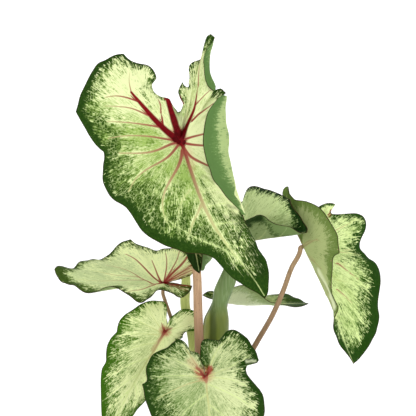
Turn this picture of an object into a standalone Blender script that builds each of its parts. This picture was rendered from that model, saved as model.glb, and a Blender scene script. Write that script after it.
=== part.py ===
"""A caladium in a plain clay pot: eight leaves, a spathe with its spadix, the tuber and the soil."""

import math

import bpy
import numpy as np

MM = 0.001

# How the plant is laid out: points are given as they are seen from the front, in steps of 0.8 mm
# at the pot's axis, with the distance in front of that axis in mm.
STEP = 0.8
EYE_DISTANCE = 1400.0
EYE_RISE = math.radians(5.0)
MIDDLE_STEP = 208.0
MIDDLE_X = 2.4
MIDDLE_Z = 309.6

# Blades
BLADE_HALF = 0.35
PLAIN_LEVELS = (0.25, 0.5, 0.75, 1.0)
ROLLED_LEVELS = (0.25, 0.5, 0.625, 0.75, 0.875, 1.0)
RAY_SHARES = (0.25, 0.5, 0.75)
ROLL_SHARES = (0.36, 0.72)
BULGE_SHARES = (0.6, 1.0, 0.75)

# Stalks
SOIL_TOP = 100.0
STALK_SIDES = 8
STALK_PIECES = 3
STALK_RISE = 1.0
HOLE_GAP = 0.5
HOLE_SIDES = 12
HOLE_OVERLAP = 0.2
HOLE_ABOVE = 5.0

# Pot
POT_HEIGHT = 115.0
POT_BASE_RADIUS = 47.0
POT_BODY_TOP_RADIUS = 59.5
POT_RIM_RADIUS = 65.0
POT_RIM_HEIGHT = 22.0
POT_WALL = 4.5
POT_FLOOR = 6.0
FIT_GAP = 0.4
ROUND_SIDES = 40

# Tuber
TUBER_TOP = 72.0
TUBER_RADIUS = 33.0
TUBER_HEIGHT = 30.0
TUBER_SIDES = 24

# Edges at which two faces meet at more than this stay sharp
SHARP_ANGLE = math.radians(40.0)

# Each blade: where its stalk joins, then its edge from the cleft between the lobes round to the
# cleft again, counter-clockwise as seen from the upper face. "bends" are points that a ray from the
# join passes on its way, "rolls" are the turning points of rays whose ends roll back over the upper
# face.
MAIN = dict(
    join=(180, 141, 35),
    bulge=5.0,
    edge=(
        (177.9, 112.3, 30), (174, 108, 29), (169.5, 98.6, 27), (160.3, 97, 25), (153.4, 91, 24),
        (152, 88, 23), (152.7, 83, 22), (156.5, 78.7, 21), (155.7, 74.8, 20), (152.7, 69.5, 19),
        (148.4, 65.7, 18), (143.5, 64, 17), (137, 63, 16), (131, 61, 15), (127.8, 58, 14),
        (123.6, 53.8, 13), (112, 56, 13), (105, 60, 14), (97.6, 64, 15), (93.7, 69.5, 16),
        (88.4, 78, 18), (84.5, 85.6, 19), (80.7, 94.7, 21), (77.7, 104, 22), (76.1, 111.6, 23),
        (80, 120, 24), (85, 127.7, 26), (90, 137, 28), (94.5, 143.7, 30), (99.8, 149, 31),
        (103.7, 152, 32), (104.5, 156.6, 33), (103, 166.5, 34), (102.5, 175.6, 36), (104, 185, 38),
        (108, 193, 41), (115, 201, 45), (120.7, 204, 48), (126.5, 208, 50), (131.5, 214.6, 52),
        (136.5, 223, 54), (141.4, 230.4, 56), (148, 236, 58), (156, 241, 60), (166, 246, 61),
        (178, 250, 62), (186, 253, 63), (199, 253.8, 64), (208, 255.6, 65), (214.8, 259, 66),
        (219.5, 264, 67), (228, 274, 70), (236, 280.4, 72), (244, 285.7, 74), (253.7, 291, 77),
        (265, 298.4, 80), (267.7, 294, 80), (268.7, 284, 79), (268.7, 270, 77), (266.4, 262, 75),
        (261.7, 255, 72), (257, 245.5, 70), (252, 235, 67), (247, 225, 66), (243.5, 218, 66),
        (240.5, 212, 71), (234, 204.5, 70), (227, 197, 69), (220.6, 189.5, 67), (214.8, 182, 66),
        (210.7, 173, 64), (207.4, 163, 62), (204, 152, 60), (203.2, 143, 59), (203.6, 133, 57),
        (205, 120.7, 54), (207.4, 113, 51), (211.5, 106.6, 47), (216.5, 100, 42), (220, 96.5, 37),
        (225.6, 92.5, 30), (220.5, 88.8, 27), (216.5, 89.5, 28),
        (212, 90.5, 36), (208.4, 87, 36), (205.8, 81, 34), (204.5, 74, 31), (204, 67.5, 28),
        (203.3, 61, 24), (204, 56, 21), (205.8, 51.6, 17), (209.6, 47, 12), (214.5, 37, 4),
        (210.9, 34.1, 2), (207.7, 36.3, 3), (205.8, 42, 4), (203.3, 49.7, 6), (200, 59.3, 8),
        (195.6, 61, 10), (191, 63.7, 12), (189.2, 67, 13), (189, 72.6, 15), (189.2, 81, 18),
        (188.9, 87, 20), (186.7, 87, 21), (184, 84.8, 20), (182.5, 82.2, 19), (180.3, 86.7, 21),
        (178, 91.8, 23), (178.7, 95.6, 24), (180.6, 100, 26), (183.2, 102, 27), (183.5, 104, 27),
        (182.5, 108.4, 29), (181, 111.5, 30),
    ),
    corners=(0, 15, 24, 30, 55, 80, 92, 93, 106),
    bends={
        6: ((170, 127), (160, 113), (149, 98)),
        7: ((169, 127), (158, 112), (146, 95)),
        8: ((169, 126), (157, 110), (146, 92)),
        9: ((168, 126), (155.5, 109), (145, 90)),
        10: ((168, 125), (155, 107), (144, 88)),
        11: ((168, 124), (155, 105), (145, 86)),
        98: ((185, 123), (191, 103), (196, 80)),
        99: ((184.5, 124), (190, 105), (194, 84)),
        100: ((184.5, 125), (189.5, 106), (193, 86)),
        101: ((184, 125), (188.5, 107), (192, 88)),
        102: ((183.5, 126), (187.5, 110), (190.5, 95)),
        105: ((182.5, 127), (185.5, 113), (186, 98)),
        106: ((182.5, 127), (185.5, 112), (185.5, 97)),
        107: ((182.3, 128), (185.3, 113.5), (184.8, 99)),
        108: ((182.2, 129), (185.2, 115), (184.8, 102)),
        109: ((182, 129.5), (184.8, 117), (185, 105)),
        110: ((182, 130), (184.5, 118.5), (185, 107.5)),
        111: ((181.8, 131), (184, 120), (185.2, 109.5)),
    },
    rolls={
        65: (243.8, 212.5, 66), 66: (242, 205, 62), 67: (239, 197.5, 58), 68: (236.8, 190.5, 54),
        69: (235.5, 183, 51), 70: (233, 173, 48), 71: (230.6, 161, 45), 72: (228.5, 151, 43),
        73: (229.3, 143, 42), 74: (229, 134, 40), 75: (226.5, 123, 37), 76: (226.2, 114, 35),
        77: (226, 107, 33), 78: (226.8, 101, 30), 79: (226.5, 97, 29),
        83: (215.3, 87.5, 29), 84: (214.3, 83, 28), 85: (212.3, 78.5, 26), 86: (210.5, 73, 23),
        87: (210, 66, 19), 88: (210.2, 59, 15), 89: (210.8, 53, 12), 90: (212, 48.5, 9),
        91: (213.6, 43.5, 6),
    },
)
LEFT = dict(
    join=(164, 283, -5),
    bulge=0.0,
    edge=(
        (168, 283.2, -4), (172.5, 281.6, -5), (177, 279.5, -6), (184, 277.6, -7), (192.5, 273.7, -8),
        (193.5, 269.4, -9), (191, 262, -12), (186.8, 253, -16), (179, 249, -20), (169.6, 248, -24),
        (163, 249, -28), (158, 250.3, -31), (153, 249.8, -34), (148.5, 248, -37), (142, 245.5, -41),
        (134, 242.7, -45), (130.4, 239.8, -47), (126.5, 241, -47), (122.7, 242, -47), (117, 245.5, -45),
        (112, 251, -41), (107.4, 256, -37), (102.6, 258.4, -34), (93, 259.7, -28), (84.4, 260.4, -22),
        (78.7, 262.7, -17), (73.4, 267.8, -11), (67, 267.5, -7), (62.4, 266, -4), (56.7, 266.6, 0),
        (54.3, 269.4, 3), (55.3, 273, 5), (57.7, 277, 8), (61.5, 282, 11), (67, 284.3, 14),
        (73, 284.6, 17), (79.7, 290, 20), (86.4, 292.4, 22), (93, 292.6, 23), (99.7, 290.5, 24),
        (106.4, 287.4, 24), (113, 286.7, 24), (119, 288.6, 25), (124.6, 292.4, 26), (130.4, 297, 27),
        (136, 301, 27), (141.8, 302.4, 26), (146.6, 300.5, 24), (150.4, 297, 21), (153.3, 293.4, 18),
        (157, 291, 15), (163, 290.3, 12), (168.6, 291.4, 10), (174.4, 294, 8), (178, 297, 6),
        (182, 297.7, 4), (186.8, 294.8, 1), (190.6, 290.5, -3), (192.5, 285.4, -6), (187, 284.9, -5.5),
        (181, 284.3, -5), (174, 284.2, -4),
    ),
    corners=(0, 16, 30, 58),
    bends={
        26: ((139, 281, -3), (115, 278.5, -3), (93, 273.5, -5)),
        27: ((138, 281, -2), (113, 279.5, -1), (89, 274.5, -2)),
        28: ((137, 281, -1), (111, 280.5, 1), (85, 275.5, 0)),
        29: ((137, 281.2, -1), (110, 281, 2), (83, 276.5, 2)),
        30: ((137, 281.4, 0), (109, 281.6, 3), (81, 277.3, 4)),
        31: ((137, 281.6, 0), (109, 282, 4), (81.5, 278.8, 6)),
        32: ((137, 282, 1), (110, 282.8, 5), (83, 281, 8)),
        33: ((138, 282.5, 1), (112, 283.8, 6), (86, 283.4, 10)),
    },
)
LOWER_LEFT = dict(
    join=(165, 332, -5),
    bulge=3.0,
    edge=(
        (167, 328, -5.5), (166.8, 322, -6), (166.4, 314, -7), (166.2, 306.6, -8), (164.5, 302.3, -9),
        (158, 300.8, -9), (151.3, 300.4, -8), (144.4, 302.3, -6), (141, 304, -5), (132, 310.4, -2),
        (124.3, 315, 1), (119, 322, 3), (117, 329, 5), (116.6, 332, 6), (110.4, 339, 8),
        (107.3, 345, 10), (106, 353.6, 12), (105.8, 362, 14), (102, 369, 16), (101, 375, 18),
        (100.6, 383, 20), (100.8, 391.5, 22), (101, 404, 25), (101.6, 416, 28), (102.8, 428, 31),
        (104.8, 438, 33), (108, 448, 36), (115, 441, 35), (123.5, 430, 33), (132.8, 416, 30),
        (138, 409, 27), (145.5, 400.7, 24), (152, 390, 20), (158, 378, 15), (165, 366, 9),
        (171, 355, 3), (175, 346, -2), (178.3, 339.4, -6), (182.6, 338, -7), (183.7, 334.4, -7.5),
        (186, 331.7, -8), (190, 330, -8), (195, 330.5, -8.5), (200, 327, -9.5), (201, 320, -10),
        (198.5, 313.5, -10), (193.8, 311, -10), (187.6, 309.3, -10), (181.4, 309.7, -9.5),
        (176, 312.7, -8.5),
        (172.5, 316, -7.5), (170, 319.7, -6.5), (168.5, 324, -6),
    ),
    corners=(0, 13, 26, 38),
    bends={},
)
FRONT = dict(
    join=(205.5, 377, 48),
    bulge=4.0,
    edge=(
        (204.3, 372.3, 46.2), (203.4, 368.5, 44.2), (202.3, 362, 41), (200.6, 356.5, 38), (197, 353, 36),
        (193, 352, 34), (189.7, 350.7, 32.5), (188, 346.6, 30), (184.8, 341.6, 27), (178.6, 339, 25),
        (173, 343, 26), (167.4, 347.8, 28), (160, 350, 29), (154, 354, 31), (149, 360, 34),
        (146.6, 366.5, 37), (146.2, 374, 40), (146.4, 381, 43), (142.1, 384.3, 44), (144, 391, 47),
        (145, 398, 50), (147.5, 406, 54), (151.2, 416, 58), (157.5, 428, 62), (166, 441, 66),
        (177, 456, 71), (189, 472, 76), (201, 486, 80), (212, 498, 84), (221, 487, 82),
        (231, 473, 78), (242, 457, 73), (252, 441, 68), (260, 427, 63.5), (263.9, 416, 60),
        (264.8, 406, 57), (264, 399.6, 55), (261, 392, 52), (256, 384.7, 49), (251, 379, 47),
        (247, 374, 46), (245.7, 369, 45), (247, 364.4, 45), (252.5, 363.4, 44), (257.3, 362.3, 42),
        (259, 359.8, 40), (257.7, 356.5, 38), (255.2, 350.7, 34), (251, 344, 30), (246, 337.4, 26),
        (239.5, 332, 23), (233.7, 330, 22), (227, 331.6, 24), (223, 335.8, 27), (218.8, 340.3, 30),
        (214.6, 339.5, 30.5), (210, 338.9, 31.5), (206.3, 338.7, 33), (202.6, 340.8, 35),
        (200.5, 347.4, 38.5),
        (200, 354, 42), (201.3, 360.6, 44.6), (203.8, 366.5, 46.4), (206.3, 369.8, 47.3),
    ),
    corners=(0, 18, 28, 42, 45, 54),
    bends={
        60: ((206.5, 373), (206.5, 367.5), (204, 360.5)),
        61: ((206.8, 373.5), (207, 369), (205.4, 364)),
        62: ((207, 374.5), (207.5, 371.5), (206, 368.5)),
    },
)
RIGHT = dict(
    join=(303, 247, 5),
    bulge=0.0,
    edge=(
        (304.8, 241, 3), (302, 234.5, 1), (296, 226, -2), (289, 212, -6), (284, 200, -10),
        (282.5, 192, -13), (284, 188, -14), (287, 186.2, -14), (289.2, 192.5, -9), (293.7, 199, -4),
        (298, 200, 1), (307.5, 201.6, 9), (318, 206.8, 19), (327, 216.7, 27), (334, 228, 33),
        (338.3, 240, 36), (339, 252.7, 37), (334.8, 256, 36), (332.5, 263, 34), (332, 271, 34),
        (332, 283, 34), (332.5, 294.5, 32), (335.4, 302.6, 30), (338.3, 308.4, 28), (336, 316, 26),
        (333.6, 319, 26), (333, 323.5, 26), (334, 329, 27), (337.7, 341, 28), (344.6, 351, 28),
        (353.3, 364, 27), (358.6, 359.5, 22), (365.5, 351, 16), (372.5, 339.7, 8), (377.7, 327, 0),
        (379, 315.4, -4), (378.3, 308.4, -6), (378.3, 301.4, -8), (379.5, 290, -12), (380.4, 279.4, -16),
        (379.5, 270, -20), (374.8, 263, -22), (366.7, 256, -24), (360.3, 249, -25), (360.3, 242, -26),
        (362, 236.4, -27), (365, 229.5, -28), (366, 222.5, -28), (363, 216, -27), (358.6, 213.8, -25),
        (344.6, 213.8, -20), (330.5, 212.5, -15), (335.4, 204.2, -14), (330.7, 202.8, -11),
        (323.7, 204, -8),
        (317, 208, -6), (312, 218, -3), (308, 230, 0),
    ),
    corners=(0, 16, 30, 52),
    bends={
        23: ((310.5, 261.5, 9), (320.5, 279.5, 14), (330.5, 295, 21)),
        24: ((311, 262, 8), (321, 282, 12), (330.5, 299.5, 19)),
        25: ((311, 262.5, 7), (321.5, 284, 11), (331.5, 303, 18)),
        26: ((311.2, 262.5, 7), (322, 286, 11), (332, 306, 18)),
        27: ((311.5, 263, 7), (322.7, 287.5, 11), (333, 309.5, 18)),
        28: ((312, 264, 6.5), (324.5, 291, 11), (335.8, 317, 18)),
        29: ((312.5, 264.5, 6), (326.5, 294, 10.5), (338.5, 322, 17)),
        30: ((313, 265, 6), (328, 296.5, 10), (340.5, 328, 16)),
        31: ((314, 265.5, 5), (330, 297, 8), (344, 328, 13)),
        32: ((315, 265, 4), (332.5, 295.5, 6), (349, 324.5, 10)),
        33: ((317, 264, 3), (336, 290.5, 2), (354.5, 316, 4)),
        34: ((319.5, 263, 1), (339.5, 284, -2), (359, 306, -1)),
    },
)
BACK_RIGHT = dict(
    join=(230, 243, -23),
    bulge=0.0,
    edge=(
        (227, 241, -26), (228, 236, -20), (232, 229, -13), (238, 223, -7), (245.3, 220, -2),
        (253, 217, 2), (260, 215, 5), (265, 216.4, 7), (270, 220.6, 10), (274.8, 224, 12),
        (282.5, 225, 15), (290, 227, 17), (295, 229.7, 19), (302, 232.7, 21), (307, 232.5, 21),
        (307.8, 229.7, 20), (304.3, 222.7, 17), (299.3, 215, 14), (294.4, 210, 11), (291.6, 205, 8),
        (290.5, 199.5, 4), (282.5, 195.3, -4), (274, 191.5, -14), (263, 188.3, -26), (256.6, 186.2, -33),
        (252.3, 186.2, -38), (248, 189, -42), (245.3, 194, -44), (244, 199, -45), (240.8, 202.4, -45),
        (236, 211, -43), (231, 223, -38), (227.5, 234, -32),
    ),
    corners=(0, 14, 20),
    bends={
        9: ((243, 240, -14), (255, 235.5, -5), (266, 229.5, 4)),
        10: ((244, 240.5, -14), (258, 236.5, -4), (271, 231, 6)),
        11: ((245, 241, -13), (261, 237.5, -3), (276, 232.5, 7)),
        12: ((246, 241.3, -13), (263, 238.2, -3), (280, 234.3, 8)),
        13: ((247.5, 241.6, -13), (266, 238.9, -3), (285, 235.6, 9)),
        14: ((248.5, 241.6, -13), (268, 238.8, -3), (288, 235.6, 9)),
        15: ((248.5, 241, -14), (268, 237.5, -5), (288, 233.5, 7)),
        16: ((248, 240, -16), (267, 234.5, -9), (286, 229, 3)),
        17: ((247, 238, -18), (264.5, 230, -13), (282.5, 222.5, -2)),
    },
)
BACK_LOW = dict(
    join=(226, 303, -56),
    bulge=0.0,
    edge=(
        (221, 300.6, -58), (217, 295.5, -55), (213, 291, -52), (207, 291.6, -49), (202.4, 295, -45),
        (207, 297, -41), (212.6, 298.6, -39), (219, 297, -37), (227, 291, -35), (236, 286, -34),
        (243, 285.5, -33), (252, 289.4, -33), (258.6, 294, -32), (265, 298, -32), (270, 301.5, -33),
        (276.5, 303.6, -34), (287.8, 305.9, -35), (292, 306.8, -36), (301, 306, -39), (308.5, 304, -46),
        (302.4, 301, -54), (294.5, 297, -60), (286.6, 294.4, -66), (280, 294, -70), (273, 296, -74),
        (265, 297.5, -77), (250, 298.5, -80), (238, 298, -81), (227, 297, -79), (217, 297.5, -74),
        (213, 299.5, -68), (216.5, 301, -62),
    ),
    corners=(0, 4, 11),
    bends={
        13: ((236.5, 304, -50), (246.5, 304.6, -44), (256, 302.5, -38)),
        14: ((238, 304.6, -51), (249.5, 305, -46), (261, 304, -40)),
        15: ((240, 304.8, -52), (253.5, 305, -47), (266, 304.5, -41)),
        16: ((242.5, 305, -53), (258.5, 305, -49), (274, 305, -43)),
        17: ((243.5, 305, -53), (260.5, 305, -49), (277, 305.3, -44)),
        18: ((245, 305, -54), (264, 305, -51), (283, 304.8, -46)),
        19: ((246, 304.6, -54), (266.5, 304.3, -52), (287, 303.8, -49)),
        20: ((245, 304, -55.5), (264, 303.2, -55), (283, 302, -54.5)),
    },
)
SMALL = dict(
    join=(189, 222, 18),
    bulge=1.5,
    edge=(
        (189.5, 217.5, 16), (187, 212, 13), (182, 208, 10), (176, 206.5, 8), (171.5, 212, 8),
        (170.5, 222, 10), (173, 234, 13), (179, 245, 16), (185, 252, 19), (190, 262, 22),
        (193.4, 269, 23), (200, 273.5, 24), (200.5, 269, 27), (201.5, 262, 28), (202.5, 254, 27),
        (204, 246, 25), (207, 238, 22), (211, 230, 18), (209, 219, 11), (204, 211, 8),
        (198, 208.5, 9), (193.5, 210.5, 12), (191, 214, 14.5),
    ),
    corners=(0, 11),
    bends={},
    rolls={
        12: (203, 268.5, 22.5), 13: (206, 264.5, 21), 14: (212, 258, 18), 15: (214, 249, 16),
        16: (214.5, 240, 14), 17: (214, 231, 12),
    },
)

# Each stalk: where it stands in the soil, the points it passes, how far from the join it turns to
# meet the blade, the gap it leaves there, and its radii from the tuber to the blade.
STALKS = {
    "main": dict(
        foot=(-2, 0),
        passes=(
            (199.5, 350, 2), (198, 310, 1), (197, 275, 0), (193, 235, -2), (188.5, 200, -1),
            (183, 166, 9),
        ),
        turn=9,
        gap=0.6,
        radii=(4.2, 3.9, 3.6, 3.3, 3.0),
    ),
    "left": dict(
        foot=(-18, -9),
        passes=((176, 345, -15), (171.3, 319, -14), (165.2, 301, -11), (162.8, 292, -8.5)),
        turn=3,
        gap=0.8,
        radii=(2.0, 1.7, 1.4),
    ),
    "lower_left": dict(
        foot=(-15, 5), passes=((178, 400, -2), (171, 362, -12)), turn=8, gap=0.4, radii=(2.4, 2.0, 1.7)
    ),
    "front": dict(
        foot=(3, 17), passes=((208, 430, 22), (207.5, 395, 33)), turn=8, gap=0.5, radii=(2.8, 2.4, 2.0)
    ),
    "right": dict(
        foot=(14, 3),
        passes=(
            (234, 385, -1), (255.5, 344.5, -2), (272.5, 315, 0), (283.5, 290, 2), (291.5, 268, 3),
            (300, 251.5, 4),
        ),
        turn=2,
        gap=1.0,
        radii=(2.7, 2.4, 2.1, 1.9),
    ),
    "back_right": dict(
        foot=(17, -11),
        passes=((224, 400, -22), (220.5, 340, -30), (222, 300, -28), (227, 264, -27)),
        turn=6,
        gap=0.8,
        radii=(2.4, 2.1, 1.7),
    ),
    "back_low": dict(
        foot=(3, -26),
        passes=((212, 390, -38), (215, 340, -50), (222.5, 312, -56.5)),
        turn=4,
        gap=0.6,
        radii=(2.2, 1.9, 1.5),
    ),
    "small": dict(
        foot=(-7, -17),
        passes=(
            (194.5, 360, -20), (192.3, 337, -22), (185, 303, -24), (186, 280, -25), (184.5, 258, -28),
            (181.5, 245, -25), (179.5, 234, -11), (183, 226, 5),
        ),
        turn=6,
        gap=1.0,
        radii=(4.0, 4.0, 4.0, 4.0, 3.9, 2.5, 1.8),
    ),
}

# Spathe, from its foot up: height as seen from the front, middle, radius, and how many degrees of
# the round it wraps
SPATHE = (
    (366, 217.0, 4.7, 405), (362, 216.9, 5.8, 405), (355, 216.7, 8.4, 405), (345, 216.3, 9.8, 405),
    (332, 216.0, 9.9, 400), (320, 216.6, 9.5, 395), (312, 217.8, 7.7, 385), (306, 218.8, 6.3, 370),
    (300, 220.4, 6.6, 340), (292, 222.6, 7.4, 290), (282, 225.6, 7.9, 240), (272, 228.4, 7.2, 215),
    (262, 230.6, 5.6, 200), (253, 232.0, 3.4, 190), (248, 232.6, 1.6, 180),
)
SPATHE_FORWARD = -15.0
SPATHE_SEAM = math.radians(60.0)
SPATHE_SPIRAL = 1.3
SPATHE_HALF = 0.4
SPATHE_COLUMNS = 18
SPATHE_STALK_FOOT = (6, -13)
SPATHE_STALK_PASSES = ((214, 420, -14), (216.6, 385, SPATHE_FORWARD))
SPATHE_STALK_RADII = (3.6, 2.9)

# Spadix, from its foot up: height as seen from the front, and radius
SPADIX = (
    (365, 2.4), (360, 3.6), (350, 4.2), (330, 4.2), (315, 3.4), (306, 2.6), (300, 2.9), (290, 3.3),
    (276, 2.6), (270, 1.2),
)
SPADIX_SIDES = 10
UPRIGHT = np.array((0.0, 0.0, 1.0))

# Colours, red green blue and roughness
CLAY = ((0.52, 0.22, 0.12), 0.85)
EARTH = ((0.045, 0.028, 0.018), 0.95)
BARK = ((0.16, 0.09, 0.05), 0.9)
BLADE_GREEN = ((0.42, 0.56, 0.25), 0.45)
STALK_TAN = ((0.45, 0.30, 0.19), 0.45)
SPATHE_GREEN = ((0.25, 0.33, 0.08), 0.45)
CREAM = ((0.80, 0.74, 0.52), 0.6)


def seen(x, y, forward):
    """The place of a point seen at x, y, in mm."""
    across = (x - MIDDLE_STEP) * STEP
    rise = (MIDDLE_STEP - y) * STEP
    sin, cos = math.sin(EYE_RISE), math.cos(EYE_RISE)
    way = (EYE_DISTANCE * cos - forward) / (EYE_DISTANCE * cos + rise * sin)
    return np.array(
        (
            MIDDLE_X + across * way,
            -forward,
            MIDDLE_Z + EYE_DISTANCE * sin + (rise * cos - EYE_DISTANCE * sin) * way,
        )
    )


def rays_of(blade):
    """For each point of the edge, the five points of the ray from the join to it."""
    join = np.array(blade["join"], float)
    rays = []
    for index, end in enumerate(blade["edge"]):
        end = np.array(end, float)
        if index in blade.get("rolls", {}):
            turn = np.array(blade["rolls"][index], float)
            points = [join + (turn - join) * share for share in ROLL_SHARES] + [turn]
        elif index in blade["bends"]:
            points = []
            for share, bend in zip(RAY_SHARES, blade["bends"][index]):
                forward = (join + (end - join) * share)[2] if len(bend) == 2 else bend[2]
                points.append(np.array((bend[0], bend[1], forward)))
        else:
            points = [join + (end - join) * share for share in RAY_SHARES]
        for point, share in zip(points, BULGE_SHARES):
            point[2] += blade["bulge"] * share
        rays.append([seen(*point) for point in [join, *points, end]])
    return np.array(rays)


def along(rays, levels):
    """Points at each level on every ray, 0 at the join and 1 at the edge, along a smooth curve."""
    slopes = np.empty_like(rays)
    slopes[:, 1:-1] = (rays[:, 2:] - rays[:, :-2]) / 2
    slopes[:, 0] = 2 * (rays[:, 1] - rays[:, 0]) - slopes[:, 1]
    slopes[:, -1] = 2 * (rays[:, -1] - rays[:, -2]) - slopes[:, -2]
    found = []
    for level in levels:
        index = min(int(level * 4), 3)
        u = level * 4 - index
        a, b = rays[:, index], rays[:, index + 1]
        da, db = slopes[:, index], slopes[:, index + 1]
        found.append(
            a * (1 + 2 * u) * (1 - u) ** 2
            + b * u * u * (3 - 2 * u)
            + da * u * (1 - u) ** 2
            - db * u * u * (1 - u)
        )
    return np.array(found).transpose(1, 0, 2)


def unit(v):
    """The vectors at length 1."""
    return v / np.linalg.norm(v, axis=-1, keepdims=True)


def normals_of(middle, rings):
    """The way that the upper face looks at the join and at each point of the rings."""
    whole = np.concatenate([np.broadcast_to(middle, (len(rings), 1, 3)), rings], axis=1)
    round_way = np.roll(rings, -1, axis=0) - np.roll(rings, 1, axis=0)
    out_way = np.empty_like(rings)
    out_way[:, :-1] = whole[:, 2:] - whole[:, :-2]
    out_way[:, -1] = whole[:, -1] - whole[:, -2]
    ways = unit(np.cross(out_way, round_way))
    return unit(ways[:, 0].sum(axis=0)), ways


def blade_mesh(blade):
    """Points and faces of the blade as a thin closed sheet, with the join and the way it looks there."""
    rays = rays_of(blade)
    levels = ROLLED_LEVELS if blade.get("rolls") else PLAIN_LEVELS
    rings = along(rays, levels)
    middle = rays[0, 0]
    join_way, ways = normals_of(middle, rings)
    count, deep = rings.shape[:2]
    points = []
    for side in (1, -1):
        points.append(middle + join_way * BLADE_HALF * side)
        points.extend((rings + ways * BLADE_HALF * side).reshape(-1, 3))
    under = 1 + count * deep
    faces = []

    def at(i, j, side):
        return under * side + 1 + (i % count) * deep + j

    for i in range(count):
        for side in (0, 1):
            turn = (lambda *f: f) if side == 0 else (lambda *f: f[::-1])
            faces.append(turn(under * side, at(i, 0, side), at(i + 1, 0, side)))
            for j in range(deep - 1):
                a, b = at(i, j, side), at(i, j + 1, side)
                c, d = at(i + 1, j + 1, side), at(i + 1, j, side)
                faces.append(turn(a, b, c))
                faces.append(turn(a, c, d))
        a, b = at(i, deep - 1, 0), at(i + 1, deep - 1, 0)
        c, d = at(i + 1, deep - 1, 1), at(i, deep - 1, 1)
        faces.append((a, d, c))
        faces.append((a, c, b))
    return np.array(points), faces, middle, join_way


def smooth_path(points, per):
    """A smooth curve through the points that sets out upright, with per pieces between each two."""
    points = np.array(points, float)
    steps = np.linalg.norm(np.diff(points, axis=0), axis=1)
    slopes = np.diff(points, axis=0) / steps[:, None]
    weighted = slopes[:-1] * steps[1:, None] + slopes[1:] * steps[:-1, None]
    knots = np.empty_like(points)
    knots[1:-1] = weighted / (steps[1:] + steps[:-1])[:, None]
    knots[0] = UPRIGHT
    knots[-1] = 2 * slopes[-1] - knots[-2]
    found = []
    for i, step in enumerate(steps):
        for k in range(per):
            u = k / per
            found.append(
                points[i] * (1 + 2 * u) * (1 - u) ** 2
                + points[i + 1] * u * u * (3 - 2 * u)
                + knots[i] * step * u * (1 - u) ** 2
                - knots[i + 1] * step * u * u * (1 - u)
            )
    found.append(points[-1])
    return np.array(found)


def sweep(path, radii, sides, end_way=None):
    """A closed round bar along the path."""
    ways = unit(np.gradient(path, axis=0))
    ways[0] = unit(path[1] - path[0])
    ways[-1] = unit(path[-1] - path[-2]) if end_way is None else end_way
    side = unit(np.cross(ways[0], (0.0, 1.0, 0.0)))
    points = []
    for place, way, radius in zip(path, ways, radii):
        side = unit(side - way * (side @ way))
        other = np.cross(way, side)
        for k in range(sides):
            angle = 2 * math.pi * k / sides
            points.append(place + radius * (side * math.cos(angle) + other * math.sin(angle)))
    count = len(path)
    faces = []
    for i in range(count - 1):
        for k in range(sides):
            a, b = i * sides + k, i * sides + (k + 1) % sides
            faces.append((a, b, b + sides))
            faces.append((a, b + sides, a + sides))
    foot, top = len(points), len(points) + 1
    points += [path[0], path[-1]]
    last = (count - 1) * sides
    for k in range(sides):
        faces.append((foot, (k + 1) % sides, k))
        faces.append((top, last + k, last + (k + 1) % sides))
    return np.array(points), faces


def rooted(path):
    """The path with its upright foot, from the tuber up through the soil."""
    foot = path[0].copy()
    foot[2] = TUBER_TOP + FIT_GAP
    return np.concatenate([[foot], path])


def stalk_path(name, middle, way):
    """The stalk's middle line from the tuber to just under the blade's join."""
    stalk = STALKS[name]
    foot_x, foot_forward = stalk["foot"]
    points = [(foot_x, -foot_forward, SOIL_TOP + STALK_RISE)]
    points += [seen(*p) for p in stalk["passes"]]
    points += [middle - way * stalk["turn"], middle - way * (BLADE_HALF + stalk["gap"])]
    return rooted(smooth_path(points, STALK_PIECES))


def spread(values, path):
    """The values, evenly spaced along the path, read at each of its points."""
    way = np.concatenate([[0], np.cumsum(np.linalg.norm(np.diff(path, axis=0), axis=1))])
    return np.interp(way / way[-1], np.linspace(0, 1, len(values)), values)


def revolve(profile, sides):
    """A closed body from a closed profile of (radius, height), listed counter-clockwise."""
    points, faces, rows = [], [], []
    for radius, height in profile:
        if radius == 0:
            rows.append([len(points)] * sides)
            points.append((0.0, 0.0, height))
            continue
        rows.append(list(range(len(points), len(points) + sides)))
        for k in range(sides):
            angle = 2 * math.pi * k / sides
            points.append((radius * math.cos(angle), radius * math.sin(angle), height))
    for i, row in enumerate(rows):
        after = rows[(i + 1) % len(rows)]
        for k in range(sides):
            n = (k + 1) % sides
            for face in ((row[k], row[n], after[n]), (row[k], after[n], after[k])):
                if len(set(face)) == 3:
                    faces.append(face)
    return np.array(points), faces


def add(name, points, faces, colour):
    """A piece in its own colour, points in mm."""
    mesh = bpy.data.meshes.new(name)
    mesh.from_pydata((np.asarray(points) * MM).tolist(), [], [tuple(map(int, f)) for f in faces])
    mesh.validate()
    mesh.polygons.foreach_set("use_smooth", [True] * len(mesh.polygons))
    mesh.set_sharp_from_angle(angle=SHARP_ANGLE)
    obj = bpy.data.objects.new(name, mesh)
    bpy.context.scene.collection.objects.link(obj)
    material = bpy.data.materials.new(name)
    material.use_nodes = True
    shader = material.node_tree.nodes["Principled BSDF"]
    shader.inputs["Base Color"].default_value = (*colour[0], 1.0)
    shader.inputs["Roughness"].default_value = colour[1]
    mesh.materials.append(material)
    return obj


def cut(obj, cutter):
    """Takes the cutter out of the piece."""
    modifier = obj.modifiers.new("cut", "BOOLEAN")
    modifier.operation = "DIFFERENCE"
    modifier.solver = "EXACT"
    modifier.object = cutter
    depsgraph = bpy.context.evaluated_depsgraph_get()
    mesh = bpy.data.meshes.new_from_object(obj.evaluated_get(depsgraph))
    obj.modifiers.remove(modifier)
    obj.data = mesh
    bpy.data.objects.remove(cutter)


def wall_radius(height):
    """The pot's outer radius at a height below the rim."""
    share = height / (POT_HEIGHT - POT_RIM_HEIGHT)
    return POT_BASE_RADIUS + (POT_BODY_TOP_RADIUS - POT_BASE_RADIUS) * share


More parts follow.
